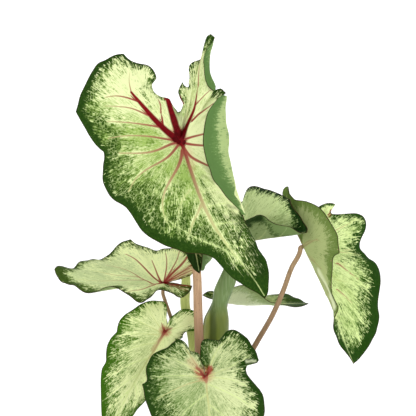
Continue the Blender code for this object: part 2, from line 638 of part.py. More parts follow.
def inner_radius(height):
    """The pot's inner radius at a height."""
    return min(wall_radius(height), POT_RIM_RADIUS) - POT_WALL


def add_pot():
    neck = POT_HEIGHT - POT_RIM_HEIGHT
    profile = (
        (0, 0), (POT_BASE_RADIUS - 2, 0), (POT_BASE_RADIUS, 2), (POT_BODY_TOP_RADIUS, neck),
        (POT_RIM_RADIUS - 1.5, neck), (POT_RIM_RADIUS - 0.5, neck + 1.2),
        (POT_RIM_RADIUS, POT_HEIGHT - 3), (POT_RIM_RADIUS - 1.2, POT_HEIGHT - 0.6),
        (POT_RIM_RADIUS - 3, POT_HEIGHT), (POT_RIM_RADIUS - 5, POT_HEIGHT - 1.2),
        (inner_radius(SOIL_TOP), SOIL_TOP - 4), (inner_radius(POT_FLOOR), POT_FLOOR), (0, POT_FLOOR),
    )
    points, faces = revolve(profile, ROUND_SIDES)
    add("pot", points, faces, CLAY)


def add_soil(feet):
    """The soil, with room for the tuber and a hole for each stalk. Each foot is (place, radius)."""
    bottom = POT_FLOOR + FIT_GAP
    bottom_radius = inner_radius(POT_FLOOR) - FIT_GAP
    top_radius = inner_radius(SOIL_TOP) - FIT_GAP
    profile = (
        (0, bottom), (bottom_radius, bottom), (top_radius, SOIL_TOP - 4.5),
        (top_radius - 0.6, SOIL_TOP - 1.5), (top_radius - 4, SOIL_TOP), (0, SOIL_TOP),
    )
    points, faces = revolve(profile, ROUND_SIDES)
    soil = add("soil", points, faces, EARTH)
    points, faces = tuber_body(FIT_GAP)
    cut(soil, add("cutter", points, faces, EARTH))
    for (x, forward), radius in feet:
        low = (x, -forward, TUBER_TOP - HOLE_OVERLAP)
        high = (x, -forward, SOIL_TOP + HOLE_ABOVE)
        points, faces = sweep(np.array((low, high)), [radius + HOLE_GAP] * 2, HOLE_SIDES)
        cut(soil, add("cutter", points, faces, EARTH))


def tuber_body(grow):
    """The tuber's flattened round, grow mm larger all over."""
    low, high = TUBER_TOP - TUBER_HEIGHT - grow, TUBER_TOP + grow
    r = TUBER_RADIUS + grow
    profile = (
        (0, low), (r * 0.55, low + 1.5), (r * 0.9, low + TUBER_HEIGHT * 0.28),
        (r, low + TUBER_HEIGHT * 0.55), (r * 0.97, high - 4), (r * 0.88, high), (0, high),
    )
    return revolve(profile, TUBER_SIDES)


def spathe_rows(per_round):
    """For each height a row of points round the spathe, rolled so that one side laps the other."""
    rows = []
    for y, x, radius, degrees in SPATHE:
        centre = seen(x, y, SPATHE_FORWARD)
        row = []
        for k in range(per_round + 1):
            share = k / per_round - 0.5
            angle = SPATHE_SEAM + share * math.radians(degrees) - math.pi / 2
            reach = radius + SPATHE_SPIRAL * share * min(1.0, degrees / 360) ** 2
            row.append(centre + reach * np.array((math.cos(angle), math.sin(angle), 0.0)))
        rows.append(row)
    return np.array(rows)


def sheet_mesh(rows, half):
    """A thin closed sheet over a grid of points."""
    down = np.gradient(rows, axis=0)
    across = np.gradient(rows, axis=1)
    ways = unit(np.cross(across, down))
    high, wide = rows.shape[:2]
    points = np.concatenate([rows + ways * half, rows - ways * half]).reshape(-1, 3)
    faces = []
    size = high * wide
    for i in range(high - 1):
        for j in range(wide - 1):
            a, b = i * wide + j, i * wide + j + 1
            c, d = b + wide, a + wide
            faces += [(a, b, c), (a, c, d)]
            faces += [(size + c, size + b, size + a), (size + d, size + c, size + a)]
    border = list(range(wide))
    border += [i * wide + wide - 1 for i in range(1, high)]
    border += [(high - 1) * wide + j for j in range(wide - 2, -1, -1)]
    border += [i * wide for i in range(high - 2, 0, -1)]
    for k, a in enumerate(border):
        b = border[(k + 1) % len(border)]
        faces += [(b, a, size + a), (b, size + a, size + b)]
    return points, faces


def add_flower():
    points, faces = sheet_mesh(spathe_rows(SPATHE_COLUMNS), SPATHE_HALF)
    add("spathe", points, faces, SPATHE_GREEN)
    foot = (SPATHE_STALK_FOOT[0], -SPATHE_STALK_FOOT[1], SOIL_TOP + STALK_RISE)
    top = seen(SPATHE[0][1], SPATHE[0][0], SPATHE_FORWARD)
    passes = (foot, *(seen(*p) for p in SPATHE_STALK_PASSES), top)
    path = rooted(smooth_path(passes, STALK_PIECES))
    points, faces = sweep(path, spread(SPATHE_STALK_RADII, path), STALK_SIDES, UPRIGHT)
    add("spathe_stalk", points, faces, SPATHE_GREEN)
    heights = [y for y, _, _, _ in reversed(SPATHE)]
    middles = [x for _, x, _, _ in reversed(SPATHE)]
    line = np.array([seen(np.interp(y, heights, middles), y, SPATHE_FORWARD) for y, _ in SPADIX])
    line[0, 2] = top[2] + FIT_GAP
    points, faces = sweep(line, [radius for _, radius in SPADIX], SPADIX_SIDES, UPRIGHT)
    add("spadix", points, faces, CREAM)


def add_leaf(name, blade):
    points, faces, middle, way = blade_mesh(blade)
    add(name + "_blade", points, faces, BLADE_GREEN)
    path = stalk_path(name, middle, way)
    points, faces = sweep(path, spread(STALKS[name]["radii"], path), STALK_SIDES, way)
    add(name + "_stalk", points, faces, STALK_TAN)


def main():
    for obj in list(bpy.data.objects):
        bpy.data.objects.remove(obj)
    leaves = {
        "main": MAIN, "left": LEFT, "lower_left": LOWER_LEFT, "front": FRONT, "right": RIGHT,
        "back_right": BACK_RIGHT, "back_low": BACK_LOW, "small": SMALL,
    }
    add_pot()
    feet = [(stalk["foot"], stalk["radii"][0]) for stalk in STALKS.values()]
    add_soil(feet + [(SPATHE_STALK_FOOT, SPATHE_STALK_RADII[0])])
    points, faces = tuber_body(0.0)
    add("tuber", points, faces, BARK)
    for name, blade in leaves.items():
        add_leaf(name, blade)
    add_flower()


main()
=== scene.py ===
"""Looks of a caladium in a clay pot: veined leaves, stalks, spathe, soil and pot, on a pale studio floor."""

import math

import bpy
import numpy as np
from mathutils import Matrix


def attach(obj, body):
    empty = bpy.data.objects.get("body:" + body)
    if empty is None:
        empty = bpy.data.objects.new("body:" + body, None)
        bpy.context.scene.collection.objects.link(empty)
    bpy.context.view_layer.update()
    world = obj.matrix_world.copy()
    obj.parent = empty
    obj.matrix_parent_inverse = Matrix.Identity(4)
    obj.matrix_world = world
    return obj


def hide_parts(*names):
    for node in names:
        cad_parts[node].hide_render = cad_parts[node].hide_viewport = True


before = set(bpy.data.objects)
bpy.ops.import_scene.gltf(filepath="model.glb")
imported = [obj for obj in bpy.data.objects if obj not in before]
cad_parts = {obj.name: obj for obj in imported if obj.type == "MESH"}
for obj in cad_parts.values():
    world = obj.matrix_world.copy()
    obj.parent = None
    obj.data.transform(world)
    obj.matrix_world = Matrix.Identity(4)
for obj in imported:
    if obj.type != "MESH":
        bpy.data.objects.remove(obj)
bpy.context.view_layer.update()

bl_info = {
    "name": "Caladium in a pot",
    "version": (1, 0, 0),
    "blender": (4, 5, 0),
    "location": "3D View > Sidebar > Caladium",
    "description": "Adds the leaves, stalks, flower, pot and soil of a caladium",
    "category": "Add Mesh",
}

MM = 0.001

# How the plant is laid out: points are given as they are seen from the front, x to the right and y down,
# in steps of 0.8 mm at the pot's axis, with the distance in front of that axis in mm.
STEP = 0.8
EYE_DISTANCE = 1400.0
EYE_RISE = math.radians(5.0)
MIDDLE_STEP = 208.0
MIDDLE_X = 2.4
MIDDLE_Z = 309.6
PICTURE_STEPS = 416.0

# Sizes of the pot, the soil and the tuber in mm, and the gap between pieces that are fitted together
SOIL_TOP = 100.0
TUBER_TOP = 72.0
TUBER_HEIGHT = 30.0
TUBER_RADIUS = 33.0
POT_HEIGHT = 115.0
POT_BASE_RADIUS = 47.0
POT_BODY_TOP_RADIUS = 59.5
POT_RIM_RADIUS = 65.0
POT_RIM_HEIGHT = 22.0
POT_WALL = 4.5
POT_FLOOR = 6.0
FIT_GAP = 0.4

# In a blade: the finest crease that is kept near the join, how far about a vein its values are worked out and
# the distance that stands for no vein, all in mm, and the share of a rolled ray that its roll hides
CREASE = 2.6
VEIN_REACH = 16.0
NO_VEIN = 30.0
ROLLED_SHARE = 0.27
# The least angle between two rays, the part of the edge in which a point's nearest stretch is looked for, how
# many points of the grid place a seen one, and how much it counts for them to lie in front
RAY_GAP = 0.002
EDGE_PART = 7
PLACED_BY = 5
FRONT_WEIGHT = 0.2

# Noises of a leaf's skin: three scales across, along and through its strokes, or one scale for a round grain
STROKES = (72.0, 14.0, 1.0)
STREAKS = (22.0, 5.0, 1.0)
FINE_STROKES = (150.0, 34.0, 1.0)
GRAIN = 650.0
PATCHES = 130.0
BROAD = 45.0
CELLS = 380.0
CELL_PUSH = 3.0 * MM
# Units of the strokes' own map in a metre
NET_SCALE = 10

# The smallest crumb as a share of the largest, how far a crumb is tilted, and how dark a tint is made for the
# painted shade in hollows and for dark flecks
CRUMB_LEAST = 0.35
CRUMB_TILT = 0.4
SHADE_AND_FLECK_SHARE = 0.45

# Faces round the soil, the tuber and the floor, and pieces of the spathe's sheet round it and up each step
SOIL_SIDES = 150
TUBER_SIDES = 72
FLOOR_SIDES = 96
SPATHE_ROUND = 56
SPATHE_UP = 5

# The bend up to the backdrop in m, the floor's two whites, where the lights stand and how wide they are in m,
# and the camera's sensor in mm
BACKDROP_BEND = 0.6
FLOOR_WHITES = (0.9, 0.9, 0.9), (0.92, 0.92, 0.92)
KEY_PLACE, KEY_SIZE = (-1.2, -1.9, 1.9), 1.6
FILL_PLACE, FILL_SIZE = (1.8, -1.2, 1.0), 1.8
SENSOR = 36.0

# Each blade: where its stalk joins, then its edge from the cleft between the lobes round to the cleft again,
# counter-clockwise as seen from the upper face. By the number of their edge point, "bends" are points that
# a ray from the join passes, and "rolls" are the turning points of rays that roll back over the upper face.
MAIN = dict(
    join=(180, 141, 35),
    bulge=5,
    edge=(
        (177.9, 112.3, 30), (174, 108, 29), (169.5, 98.6, 27), (160.3, 97, 25), (153.4, 91, 24),
        (152, 88, 23), (152.7, 83, 22), (156.5, 78.7, 21), (155.7, 74.8, 20), (152.7, 69.5, 19),
        (148.4, 65.7, 18), (143.5, 64, 17), (137, 63, 16), (131, 61, 15), (127.8, 58, 14), (123.6, 53.8, 13),
        (112, 56, 13), (105, 60, 14), (97.6, 64, 15), (93.7, 69.5, 16), (88.4, 78, 18), (84.5, 85.6, 19),
        (80.7, 94.7, 21), (77.7, 104, 22), (76.1, 111.6, 23), (80, 120, 24), (85, 127.7, 26), (90, 137, 28),
        (94.5, 143.7, 30), (99.8, 149, 31), (103.7, 152, 32), (104.5, 156.6, 33), (103, 166.5, 34),
        (102.5, 175.6, 36), (104, 185, 38), (108, 193, 41), (115, 201, 45), (120.7, 204, 48),
        (126.5, 208, 50), (131.5, 214.6, 52), (136.5, 223, 54), (141.4, 230.4, 56), (148, 236, 58),
        (156, 241, 60), (166, 246, 61), (178, 250, 62), (186, 253, 63), (199, 253.8, 64), (208, 255.6, 65),
        (214.8, 259, 66), (219.5, 264, 67), (228, 274, 70), (236, 280.4, 72), (244, 285.7, 74),
        (253.7, 291, 77), (265, 298.4, 80), (267.7, 294, 80), (268.7, 284, 79), (268.7, 270, 77),
        (266.4, 262, 75), (261.7, 255, 72), (257, 245.5, 70), (252, 235, 67), (247, 225, 66),
        (243.5, 218, 66), (240.5, 212, 71), (234, 204.5, 70), (227, 197, 69), (220.6, 189.5, 67),
        (214.8, 182, 66), (210.7, 173, 64), (207.4, 163, 62), (204, 152, 60), (203.2, 143, 59),
        (203.6, 133, 57), (205, 120.7, 54), (207.4, 113, 51), (211.5, 106.6, 47), (216.5, 100, 42),
        (220, 96.5, 37), (225.6, 92.5, 30), (220.5, 88.8, 27), (216.5, 89.5, 28), (212, 90.5, 36),
        (208.4, 87, 36), (205.8, 81, 34), (204.5, 74, 31), (204, 67.5, 28), (203.3, 61, 24), (204, 56, 21),
        (205.8, 51.6, 17), (209.6, 47, 12), (214.5, 37, 4), (210.9, 34.1, 2), (207.7, 36.3, 3),
        (205.8, 42, 4), (203.3, 49.7, 6), (200, 59.3, 8), (195.6, 61, 10), (191, 63.7, 12), (189.2, 67, 13),
        (189, 72.6, 15), (189.2, 81, 18), (188.9, 87, 20), (186.7, 87, 21), (184, 84.8, 20),
        (182.5, 82.2, 19), (180.3, 86.7, 21), (178, 91.8, 23), (178.7, 95.6, 24), (180.6, 100, 26),
        (183.2, 102, 27), (183.5, 104, 27), (182.5, 108.4, 29), (181, 111.5, 30),
    ),
    corners=(0, 15, 24, 30, 55, 80, 92, 93, 106),
    bends={
        6: ((170, 127), (160, 113), (149, 98)), 7: ((169, 127), (158, 112), (146, 95)),
        8: ((169, 126), (157, 110), (146, 92)), 9: ((168, 126), (155.5, 109), (145, 90)),
        10: ((168, 125), (155, 107), (144, 88)), 11: ((168, 124), (155, 105), (145, 86)),
        98: ((185, 123), (191, 103), (196, 80)), 99: ((184.5, 124), (190, 105), (194, 84)),
        100: ((184.5, 125), (189.5, 106), (193, 86)), 101: ((184, 125), (188.5, 107), (192, 88)),
        102: ((183.5, 126), (187.5, 110), (190.5, 95)), 105: ((182.5, 127), (185.5, 113), (186, 98)),
        106: ((182.5, 127), (185.5, 112), (185.5, 97)), 107: ((182.3, 128), (185.3, 113.5), (184.8, 99)),
        108: ((182.2, 129), (185.2, 115), (184.8, 102)), 109: ((182, 129.5), (184.8, 117), (185, 105)),
        110: ((182, 130), (184.5, 118.5), (185, 107.5)), 111: ((181.8, 131), (184, 120), (185.2, 109.5)),
    },
    rolls={
        65: (243.8, 212.5, 66), 66: (242, 205, 62), 67: (239, 197.5, 58), 68: (236.8, 190.5, 54),
        69: (235.5, 183, 51), 70: (233, 173, 48), 71: (230.6, 161, 45), 72: (228.5, 151, 43),
        73: (229.3, 143, 42), 74: (229, 134, 40), 75: (226.5, 123, 37), 76: (226.2, 114, 35),
        77: (226, 107, 33), 78: (226.8, 101, 30), 79: (226.5, 97, 29), 83: (215.3, 87.5, 29),
        84: (214.3, 83, 28), 85: (212.3, 78.5, 26), 86: (210.5, 73, 23), 87: (210, 66, 19),
        88: (210.2, 59, 15), 89: (210.8, 53, 12), 90: (212, 48.5, 9), 91: (213.6, 43.5, 6),
    },
)
LEFT = dict(
    join=(164, 283, -5),
    bulge=0,
    edge=(
        (168, 283.2, -4), (172.5, 281.6, -5), (177, 279.5, -6), (184, 277.6, -7), (192.5, 273.7, -8),
        (193.5, 269.4, -9), (191, 262, -12), (186.8, 253, -16), (179, 249, -20), (169.6, 248, -24),
        (163, 249, -28), (158, 250.3, -31), (153, 249.8, -34), (148.5, 248, -37), (142, 245.5, -41),
        (134, 242.7, -45), (130.4, 239.8, -47), (126.5, 241, -47), (122.7, 242, -47), (117, 245.5, -45),
        (112, 251, -41), (107.4, 256, -37), (102.6, 258.4, -34), (93, 259.7, -28), (84.4, 260.4, -22),
        (78.7, 262.7, -17), (73.4, 267.8, -11), (67, 267.5, -7), (62.4, 266, -4), (56.7, 266.6, 0),
        (54.3, 269.4, 3), (55.3, 273, 5), (57.7, 277, 8), (61.5, 282, 11), (67, 284.3, 14), (73, 284.6, 17),
        (79.7, 290, 20), (86.4, 292.4, 22), (93, 292.6, 23), (99.7, 290.5, 24), (106.4, 287.4, 24),
        (113, 286.7, 24), (119, 288.6, 25), (124.6, 292.4, 26), (130.4, 297, 27), (136, 301, 27),
        (141.8, 302.4, 26), (146.6, 300.5, 24), (150.4, 297, 21), (153.3, 293.4, 18), (157, 291, 15),
        (163, 290.3, 12), (168.6, 291.4, 10), (174.4, 294, 8), (178, 297, 6), (182, 297.7, 4),
        (186.8, 294.8, 1), (190.6, 290.5, -3), (192.5, 285.4, -6), (187, 284.9, -5.5), (181, 284.3, -5),
        (174, 284.2, -4),
    ),
    corners=(0, 16, 30, 58),
    bends={
        26: ((139, 281, -3), (115, 278.5, -3), (93, 273.5, -5)),
        27: ((138, 281, -2), (113, 279.5, -1), (89, 274.5, -2)),
        28: ((137, 281, -1), (111, 280.5, 1), (85, 275.5, 0)),
        29: ((137, 281.2, -1), (110, 281, 2), (83, 276.5, 2)),
        30: ((137, 281.4, 0), (109, 281.6, 3), (81, 277.3, 4)),
        31: ((137, 281.6, 0), (109, 282, 4), (81.5, 278.8, 6)),
        32: ((137, 282, 1), (110, 282.8, 5), (83, 281, 8)),
        33: ((138, 282.5, 1), (112, 283.8, 6), (86, 283.4, 10)),
    },
)
LOWER_LEFT = dict(
    join=(165, 332, -5),
    bulge=3,
    edge=(
        (167, 328, -5.5), (166.8, 322, -6), (166.4, 314, -7), (166.2, 306.6, -8), (164.5, 302.3, -9),
        (158, 300.8, -9), (151.3, 300.4, -8), (144.4, 302.3, -6), (141, 304, -5), (132, 310.4, -2),
        (124.3, 315, 1), (119, 322, 3), (117, 329, 5), (116.6, 332, 6), (110.4, 339, 8), (107.3, 345, 10),
        (106, 353.6, 12), (105.8, 362, 14), (102, 369, 16), (101, 375, 18), (100.6, 383, 20),
        (100.8, 391.5, 22), (101, 404, 25), (101.6, 416, 28), (102.8, 428, 31), (104.8, 438, 33),
        (108, 448, 36), (115, 441, 35), (123.5, 430, 33), (132.8, 416, 30), (138, 409, 27),
        (145.5, 400.7, 24), (152, 390, 20), (158, 378, 15), (165, 366, 9), (171, 355, 3), (175, 346, -2),
        (178.3, 339.4, -6), (182.6, 338, -7), (183.7, 334.4, -7.5), (186, 331.7, -8), (190, 330, -8),
        (195, 330.5, -8.5), (200, 327, -9.5), (201, 320, -10), (198.5, 313.5, -10), (193.8, 311, -10),
        (187.6, 309.3, -10), (181.4, 309.7, -9.5), (176, 312.7, -8.5), (172.5, 316, -7.5), (170, 319.7, -6.5),
        (168.5, 324, -6),
    ),
    corners=(0, 13, 26, 38),
)
FRONT = dict(
    join=(205.5, 377, 48),
    bulge=4,
    edge=(
        (204.3, 372.3, 46.2), (203.4, 368.5, 44.2), (202.3, 362, 41), (200.6, 356.5, 38), (197, 353, 36),
        (193, 352, 34), (189.7, 350.7, 32.5), (188, 346.6, 30), (184.8, 341.6, 27), (178.6, 339, 25),
        (173, 343, 26), (167.4, 347.8, 28), (160, 350, 29), (154, 354, 31), (149, 360, 34),
        (146.6, 366.5, 37), (146.2, 374, 40), (146.4, 381, 43), (142.1, 384.3, 44), (144, 391, 47),
        (145, 398, 50), (147.5, 406, 54), (151.2, 416, 58), (157.5, 428, 62), (166, 441, 66), (177, 456, 71),
        (189, 472, 76), (201, 486, 80), (212, 498, 84), (221, 487, 82), (231, 473, 78), (242, 457, 73),
        (252, 441, 68), (260, 427, 63.5), (263.9, 416, 60), (264.8, 406, 57), (264, 399.6, 55),
        (261, 392, 52), (256, 384.7, 49), (251, 379, 47), (247, 374, 46), (245.7, 369, 45), (247, 364.4, 45),
        (252.5, 363.4, 44), (257.3, 362.3, 42), (259, 359.8, 40), (257.7, 356.5, 38), (255.2, 350.7, 34),
        (251, 344, 30), (246, 337.4, 26), (239.5, 332, 23), (233.7, 330, 22), (227, 331.6, 24),
        (223, 335.8, 27), (218.8, 340.3, 30), (214.6, 339.5, 30.5), (210, 338.9, 31.5), (206.3, 338.7, 33),
        (202.6, 340.8, 35), (200.5, 347.4, 38.5), (200, 354, 42), (201.3, 360.6, 44.6), (203.8, 366.5, 46.4),
        (206.3, 369.8, 47.3),
    ),
    corners=(0, 18, 28, 42, 45, 54),
    bends={
        60: ((206.5, 373), (206.5, 367.5), (204, 360.5)), 61: ((206.8, 373.5), (207, 369), (205.4, 364)),
        62: ((207, 374.5), (207.5, 371.5), (206, 368.5)),
    },
)
RIGHT = dict(
    join=(303, 247, 5),
    bulge=0,
    edge=(
        (304.8, 241, 3), (302, 234.5, 1), (296, 226, -2), (289, 212, -6), (284, 200, -10), (282.5, 192, -13),
        (284, 188, -14), (287, 186.2, -14), (289.2, 192.5, -9), (293.7, 199, -4), (298, 200, 1),
        (307.5, 201.6, 9), (318, 206.8, 19), (327, 216.7, 27), (334, 228, 33), (338.3, 240, 36),
        (339, 252.7, 37), (334.8, 256, 36), (332.5, 263, 34), (332, 271, 34), (332, 283, 34),
        (332.5, 294.5, 32), (335.4, 302.6, 30), (338.3, 308.4, 28), (336, 316, 26), (333.6, 319, 26),
        (333, 323.5, 26), (334, 329, 27), (337.7, 341, 28), (344.6, 351, 28), (353.3, 364, 27),
        (358.6, 359.5, 22), (365.5, 351, 16), (372.5, 339.7, 8), (377.7, 327, 0), (379, 315.4, -4),
        (378.3, 308.4, -6), (378.3, 301.4, -8), (379.5, 290, -12), (380.4, 279.4, -16), (379.5, 270, -20),
        (374.8, 263, -22), (366.7, 256, -24), (360.3, 249, -25), (360.3, 242, -26), (362, 236.4, -27),
        (365, 229.5, -28), (366, 222.5, -28), (363, 216, -27), (358.6, 213.8, -25), (344.6, 213.8, -20),
        (330.5, 212.5, -15), (335.4, 204.2, -14), (330.7, 202.8, -11), (323.7, 204, -8), (317, 208, -6),
        (312, 218, -3), (308, 230, 0),
    ),
    corners=(0, 16, 30, 52),
    bends={
        23: ((310.5, 261.5, 9), (320.5, 279.5, 14), (330.5, 295, 21)),
        24: ((311, 262, 8), (321, 282, 12), (330.5, 299.5, 19)),
        25: ((311, 262.5, 7), (321.5, 284, 11), (331.5, 303, 18)),
        26: ((311.2, 262.5, 7), (322, 286, 11), (332, 306, 18)),
        27: ((311.5, 263, 7), (322.7, 287.5, 11), (333, 309.5, 18)),
        28: ((312, 264, 6.5), (324.5, 291, 11), (335.8, 317, 18)),
        29: ((312.5, 264.5, 6), (326.5, 294, 10.5), (338.5, 322, 17)),
        30: ((313, 265, 6), (328, 296.5, 10), (340.5, 328, 16)),
        31: ((314, 265.5, 5), (330, 297, 8), (344, 328, 13)),
        32: ((315, 265, 4), (332.5, 295.5, 6), (349, 324.5, 10)),
        33: ((317, 264, 3), (336, 290.5, 2), (354.5, 316, 4)),
        34: ((319.5, 263, 1), (339.5, 284, -2), (359, 306, -1)),
    },
)
BACK_RIGHT = dict(
    join=(230, 243, -23),
    bulge=0,
    edge=(
        (227, 241, -26), (228, 236, -20), (232, 229, -13), (238, 223, -7), (245.3, 220, -2), (253, 217, 2),
        (260, 215, 5), (265, 216.4, 7), (270, 220.6, 10), (274.8, 224, 12), (282.5, 225, 15), (290, 227, 17),
        (295, 229.7, 19), (302, 232.7, 21), (307, 232.5, 21), (307.8, 229.7, 20), (304.3, 222.7, 17),
        (299.3, 215, 14), (294.4, 210, 11), (291.6, 205, 8), (290.5, 199.5, 4), (282.5, 195.3, -4),
        (274, 191.5, -14), (263, 188.3, -26), (256.6, 186.2, -33), (252.3, 186.2, -38), (248, 189, -42),
        (245.3, 194, -44), (244, 199, -45), (240.8, 202.4, -45), (236, 211, -43), (231, 223, -38),
        (227.5, 234, -32),
    ),
    corners=(0, 14, 20),
    bends={
        9: ((243, 240, -14), (255, 235.5, -5), (266, 229.5, 4)),
        10: ((244, 240.5, -14), (258, 236.5, -4), (271, 231, 6)),
        11: ((245, 241, -13), (261, 237.5, -3), (276, 232.5, 7)),
        12: ((246, 241.3, -13), (263, 238.2, -3), (280, 234.3, 8)),
        13: ((247.5, 241.6, -13), (266, 238.9, -3), (285, 235.6, 9)),
        14: ((248.5, 241.6, -13), (268, 238.8, -3), (288, 235.6, 9)),
        15: ((248.5, 241, -14), (268, 237.5, -5), (288, 233.5, 7)),
        16: ((248, 240, -16), (267, 234.5, -9), (286, 229, 3)),
        17: ((247, 238, -18), (264.5, 230, -13), (282.5, 222.5, -2)),
    },
)
BACK_LOW = dict(
    join=(226, 303, -56),
    bulge=0,
    edge=(
        (221, 300.6, -58), (217, 295.5, -55), (213, 291, -52), (207, 291.6, -49), (202.4, 295, -45),
        (207, 297, -41), (212.6, 298.6, -39), (219, 297, -37), (227, 291, -35), (236, 286, -34),
        (243, 285.5, -33), (252, 289.4, -33), (258.6, 294, -32), (265, 298, -32), (270, 301.5, -33),
        (276.5, 303.6, -34), (287.8, 305.9, -35), (292, 306.8, -36), (301, 306, -39), (308.5, 304, -46),
        (302.4, 301, -54), (294.5, 297, -60), (286.6, 294.4, -66), (280, 294, -70), (273, 296, -74),
        (265, 297.5, -77), (250, 298.5, -80), (238, 298, -81), (227, 297, -79), (217, 297.5, -74),
        (213, 299.5, -68), (216.5, 301, -62),
    ),
    corners=(0, 4, 11),
    bends={
        13: ((236.5, 304, -50), (246.5, 304.6, -44), (256, 302.5, -38)),
        14: ((238, 304.6, -51), (249.5, 305, -46), (261, 304, -40)),
        15: ((240, 304.8, -52), (253.5, 305, -47), (266, 304.5, -41)),
        16: ((242.5, 305, -53), (258.5, 305, -49), (274, 305, -43)),
        17: ((243.5, 305, -53), (260.5, 305, -49), (277, 305.3, -44)),
        18: ((245, 305, -54), (264, 305, -51), (283, 304.8, -46)),
        19: ((246, 304.6, -54), (266.5, 304.3, -52), (287, 303.8, -49)),
        20: ((245, 304, -55.5), (264, 303.2, -55), (283, 302, -54.5)),
    },
)
SMALL = dict(
    join=(189, 222, 18),
    bulge=1.5,
    edge=(
        (189.5, 217.5, 16), (187, 212, 13), (182, 208, 10), (176, 206.5, 8), (171.5, 212, 8),
        (170.5, 222, 10), (173, 234, 13), (179, 245, 16), (185, 252, 19), (190, 262, 22), (193.4, 269, 23),
        (200, 273.5, 24), (200.5, 269, 27), (201.5, 262, 28), (202.5, 254, 27), (204, 246, 25),
        (207, 238, 22), (211, 230, 18), (209, 219, 11), (204, 211, 8), (198, 208.5, 9), (193.5, 210.5, 12),
        (191, 214, 14.5),
    ),
    corners=(0, 11),
    rolls={
        12: (203, 268.5, 22.5), 13: (206, 264.5, 21), 14: (212, 258, 18), 15: (214, 249, 16),
        16: (214.5, 240, 14), 17: (214, 231, 12),
    },
)
BLADES = {
    "main": MAIN, "left": LEFT, "lower_left": LOWER_LEFT, "front": FRONT, "right": RIGHT,
    "back_right": BACK_RIGHT, "back_low": BACK_LOW, "small": SMALL,
}

# Each stalk: where it stands in the soil, the points it passes, how far from the join it turns to meet the
# blade, and its radii from the tuber to the blade.
STALKS = {
    "main": dict(
        foot=(-2, 0),
        passes=(
            (199.5, 350, 2), (198, 310, 1), (197, 275, 0), (193, 235, -2), (188.5, 200, -1), (183, 166, 9),
        ),
        turn=9,
        radii=(4.2, 3.9, 3.6, 3.3, 3),
    ),
    "left": dict(
        foot=(-18, -9),
        passes=((176, 345, -15), (171.3, 319, -14), (165.2, 301, -11), (162.8, 292, -8.5)),
        turn=3,
        radii=(2, 1.7, 1.4),
    ),
    "lower_left": dict(foot=(-15, 5), passes=((178, 400, -2), (171, 362, -12)), turn=8, radii=(2.4, 2, 1.7)),
    "front": dict(foot=(3, 17), passes=((208, 430, 22), (207.5, 395, 33)), turn=8, radii=(2.8, 2.4, 2)),
    "right": dict(
        foot=(14, 3),
        passes=(
            (234, 385, -1), (255.5, 344.5, -2), (272.5, 315, 0), (283.5, 290, 2), (291.5, 268, 3),
            (300, 251.5, 4),
        ),
        turn=2,
        radii=(2.7, 2.4, 2.1, 1.9),
    ),
    "back_right": dict(
        foot=(17, -11),
        passes=((224, 400, -22), (220.5, 340, -30), (222, 300, -28), (227, 264, -27)),
        turn=6,
        radii=(2.4, 2.1, 1.7),
    ),
    "back_low": dict(
        foot=(3, -26),
        passes=((212, 390, -38), (215, 340, -50), (222.5, 312, -56.5)),
        turn=4,
        radii=(2.2, 1.9, 1.5),
    ),
    "small": dict(
        foot=(-7, -17),
        passes=(
            (194.5, 360, -20), (192.3, 337, -22), (185, 303, -24), (186, 280, -25), (184.5, 258, -28),
            (181.5, 245, -25), (179.5, 234, -11), (183, 226, 5),
        ),
        turn=6,
        radii=(4, 4, 4, 4, 3.9, 2.5, 1.8),
    ),
}

# Spathe, from its foot up: height and middle as seen from the front, radius, and how many degrees it wraps
SPATHE = (
    (366, 217, 4.7, 405), (362, 216.9, 5.8, 405), (355, 216.7, 8.4, 405), (345, 216.3, 9.8, 405),
    (332, 216, 9.9, 400), (320, 216.6, 9.5, 395), (312, 217.8, 7.7, 385), (306, 218.8, 6.3, 370),
    (300, 220.4, 6.6, 340), (292, 222.6, 7.4, 290), (282, 225.6, 7.9, 240), (272, 228.4, 7.2, 215),
    (262, 230.6, 5.6, 200), (253, 232, 3.4, 190), (248, 232.6, 1.6, 180),
)
SPATHE_FORWARD = -15.0
SPATHE_SEAM = math.radians(60.0)
SPATHE_SPIRAL = 1.3
SPATHE_STALK = dict(foot=(6, -13), passes=((214, 420, -14), (216.6, 385, -15)), radii=(3.6, 2.9))
# Between which heights in mm the painted shade, a darker brown at a stalk's foot under the leaves, fades, for
# each finish
STALK_SHADE_HEIGHTS = {"stalk": (195.0, 250.0), "thin_stalk": (180.0, 280.0), "sheathed_stalk": (100.0, 200.0)}
# Where the tube opens into the limb, as seen, and where its painted lit side in yellow and the painted shade
# of its fold fade, across in m
THROAT = (216, 312)
LIT_SIDE = (0.0044, 0.0024)
FOLD_START, FOLD_END = (0.003, 0.005), (0.0096, 0.0066)
# Spadix, from its foot up: height seen from the front, and radius with its flowers
SPADIX = (
    (365, 2.4), (360, 3.6), (350, 4.2), (330, 4.2), (315, 3.4), (306, 2.6), (300, 2.9), (290, 3.3),
    (276, 2.6), (270, 1.2),
)
CORE_INSET = 0.35
# Most flowers on a square metre, and a flower's radius in gaps between flowers
FLORET_DENSITY = 900000.0
FLORET_RADIUS = 0.62

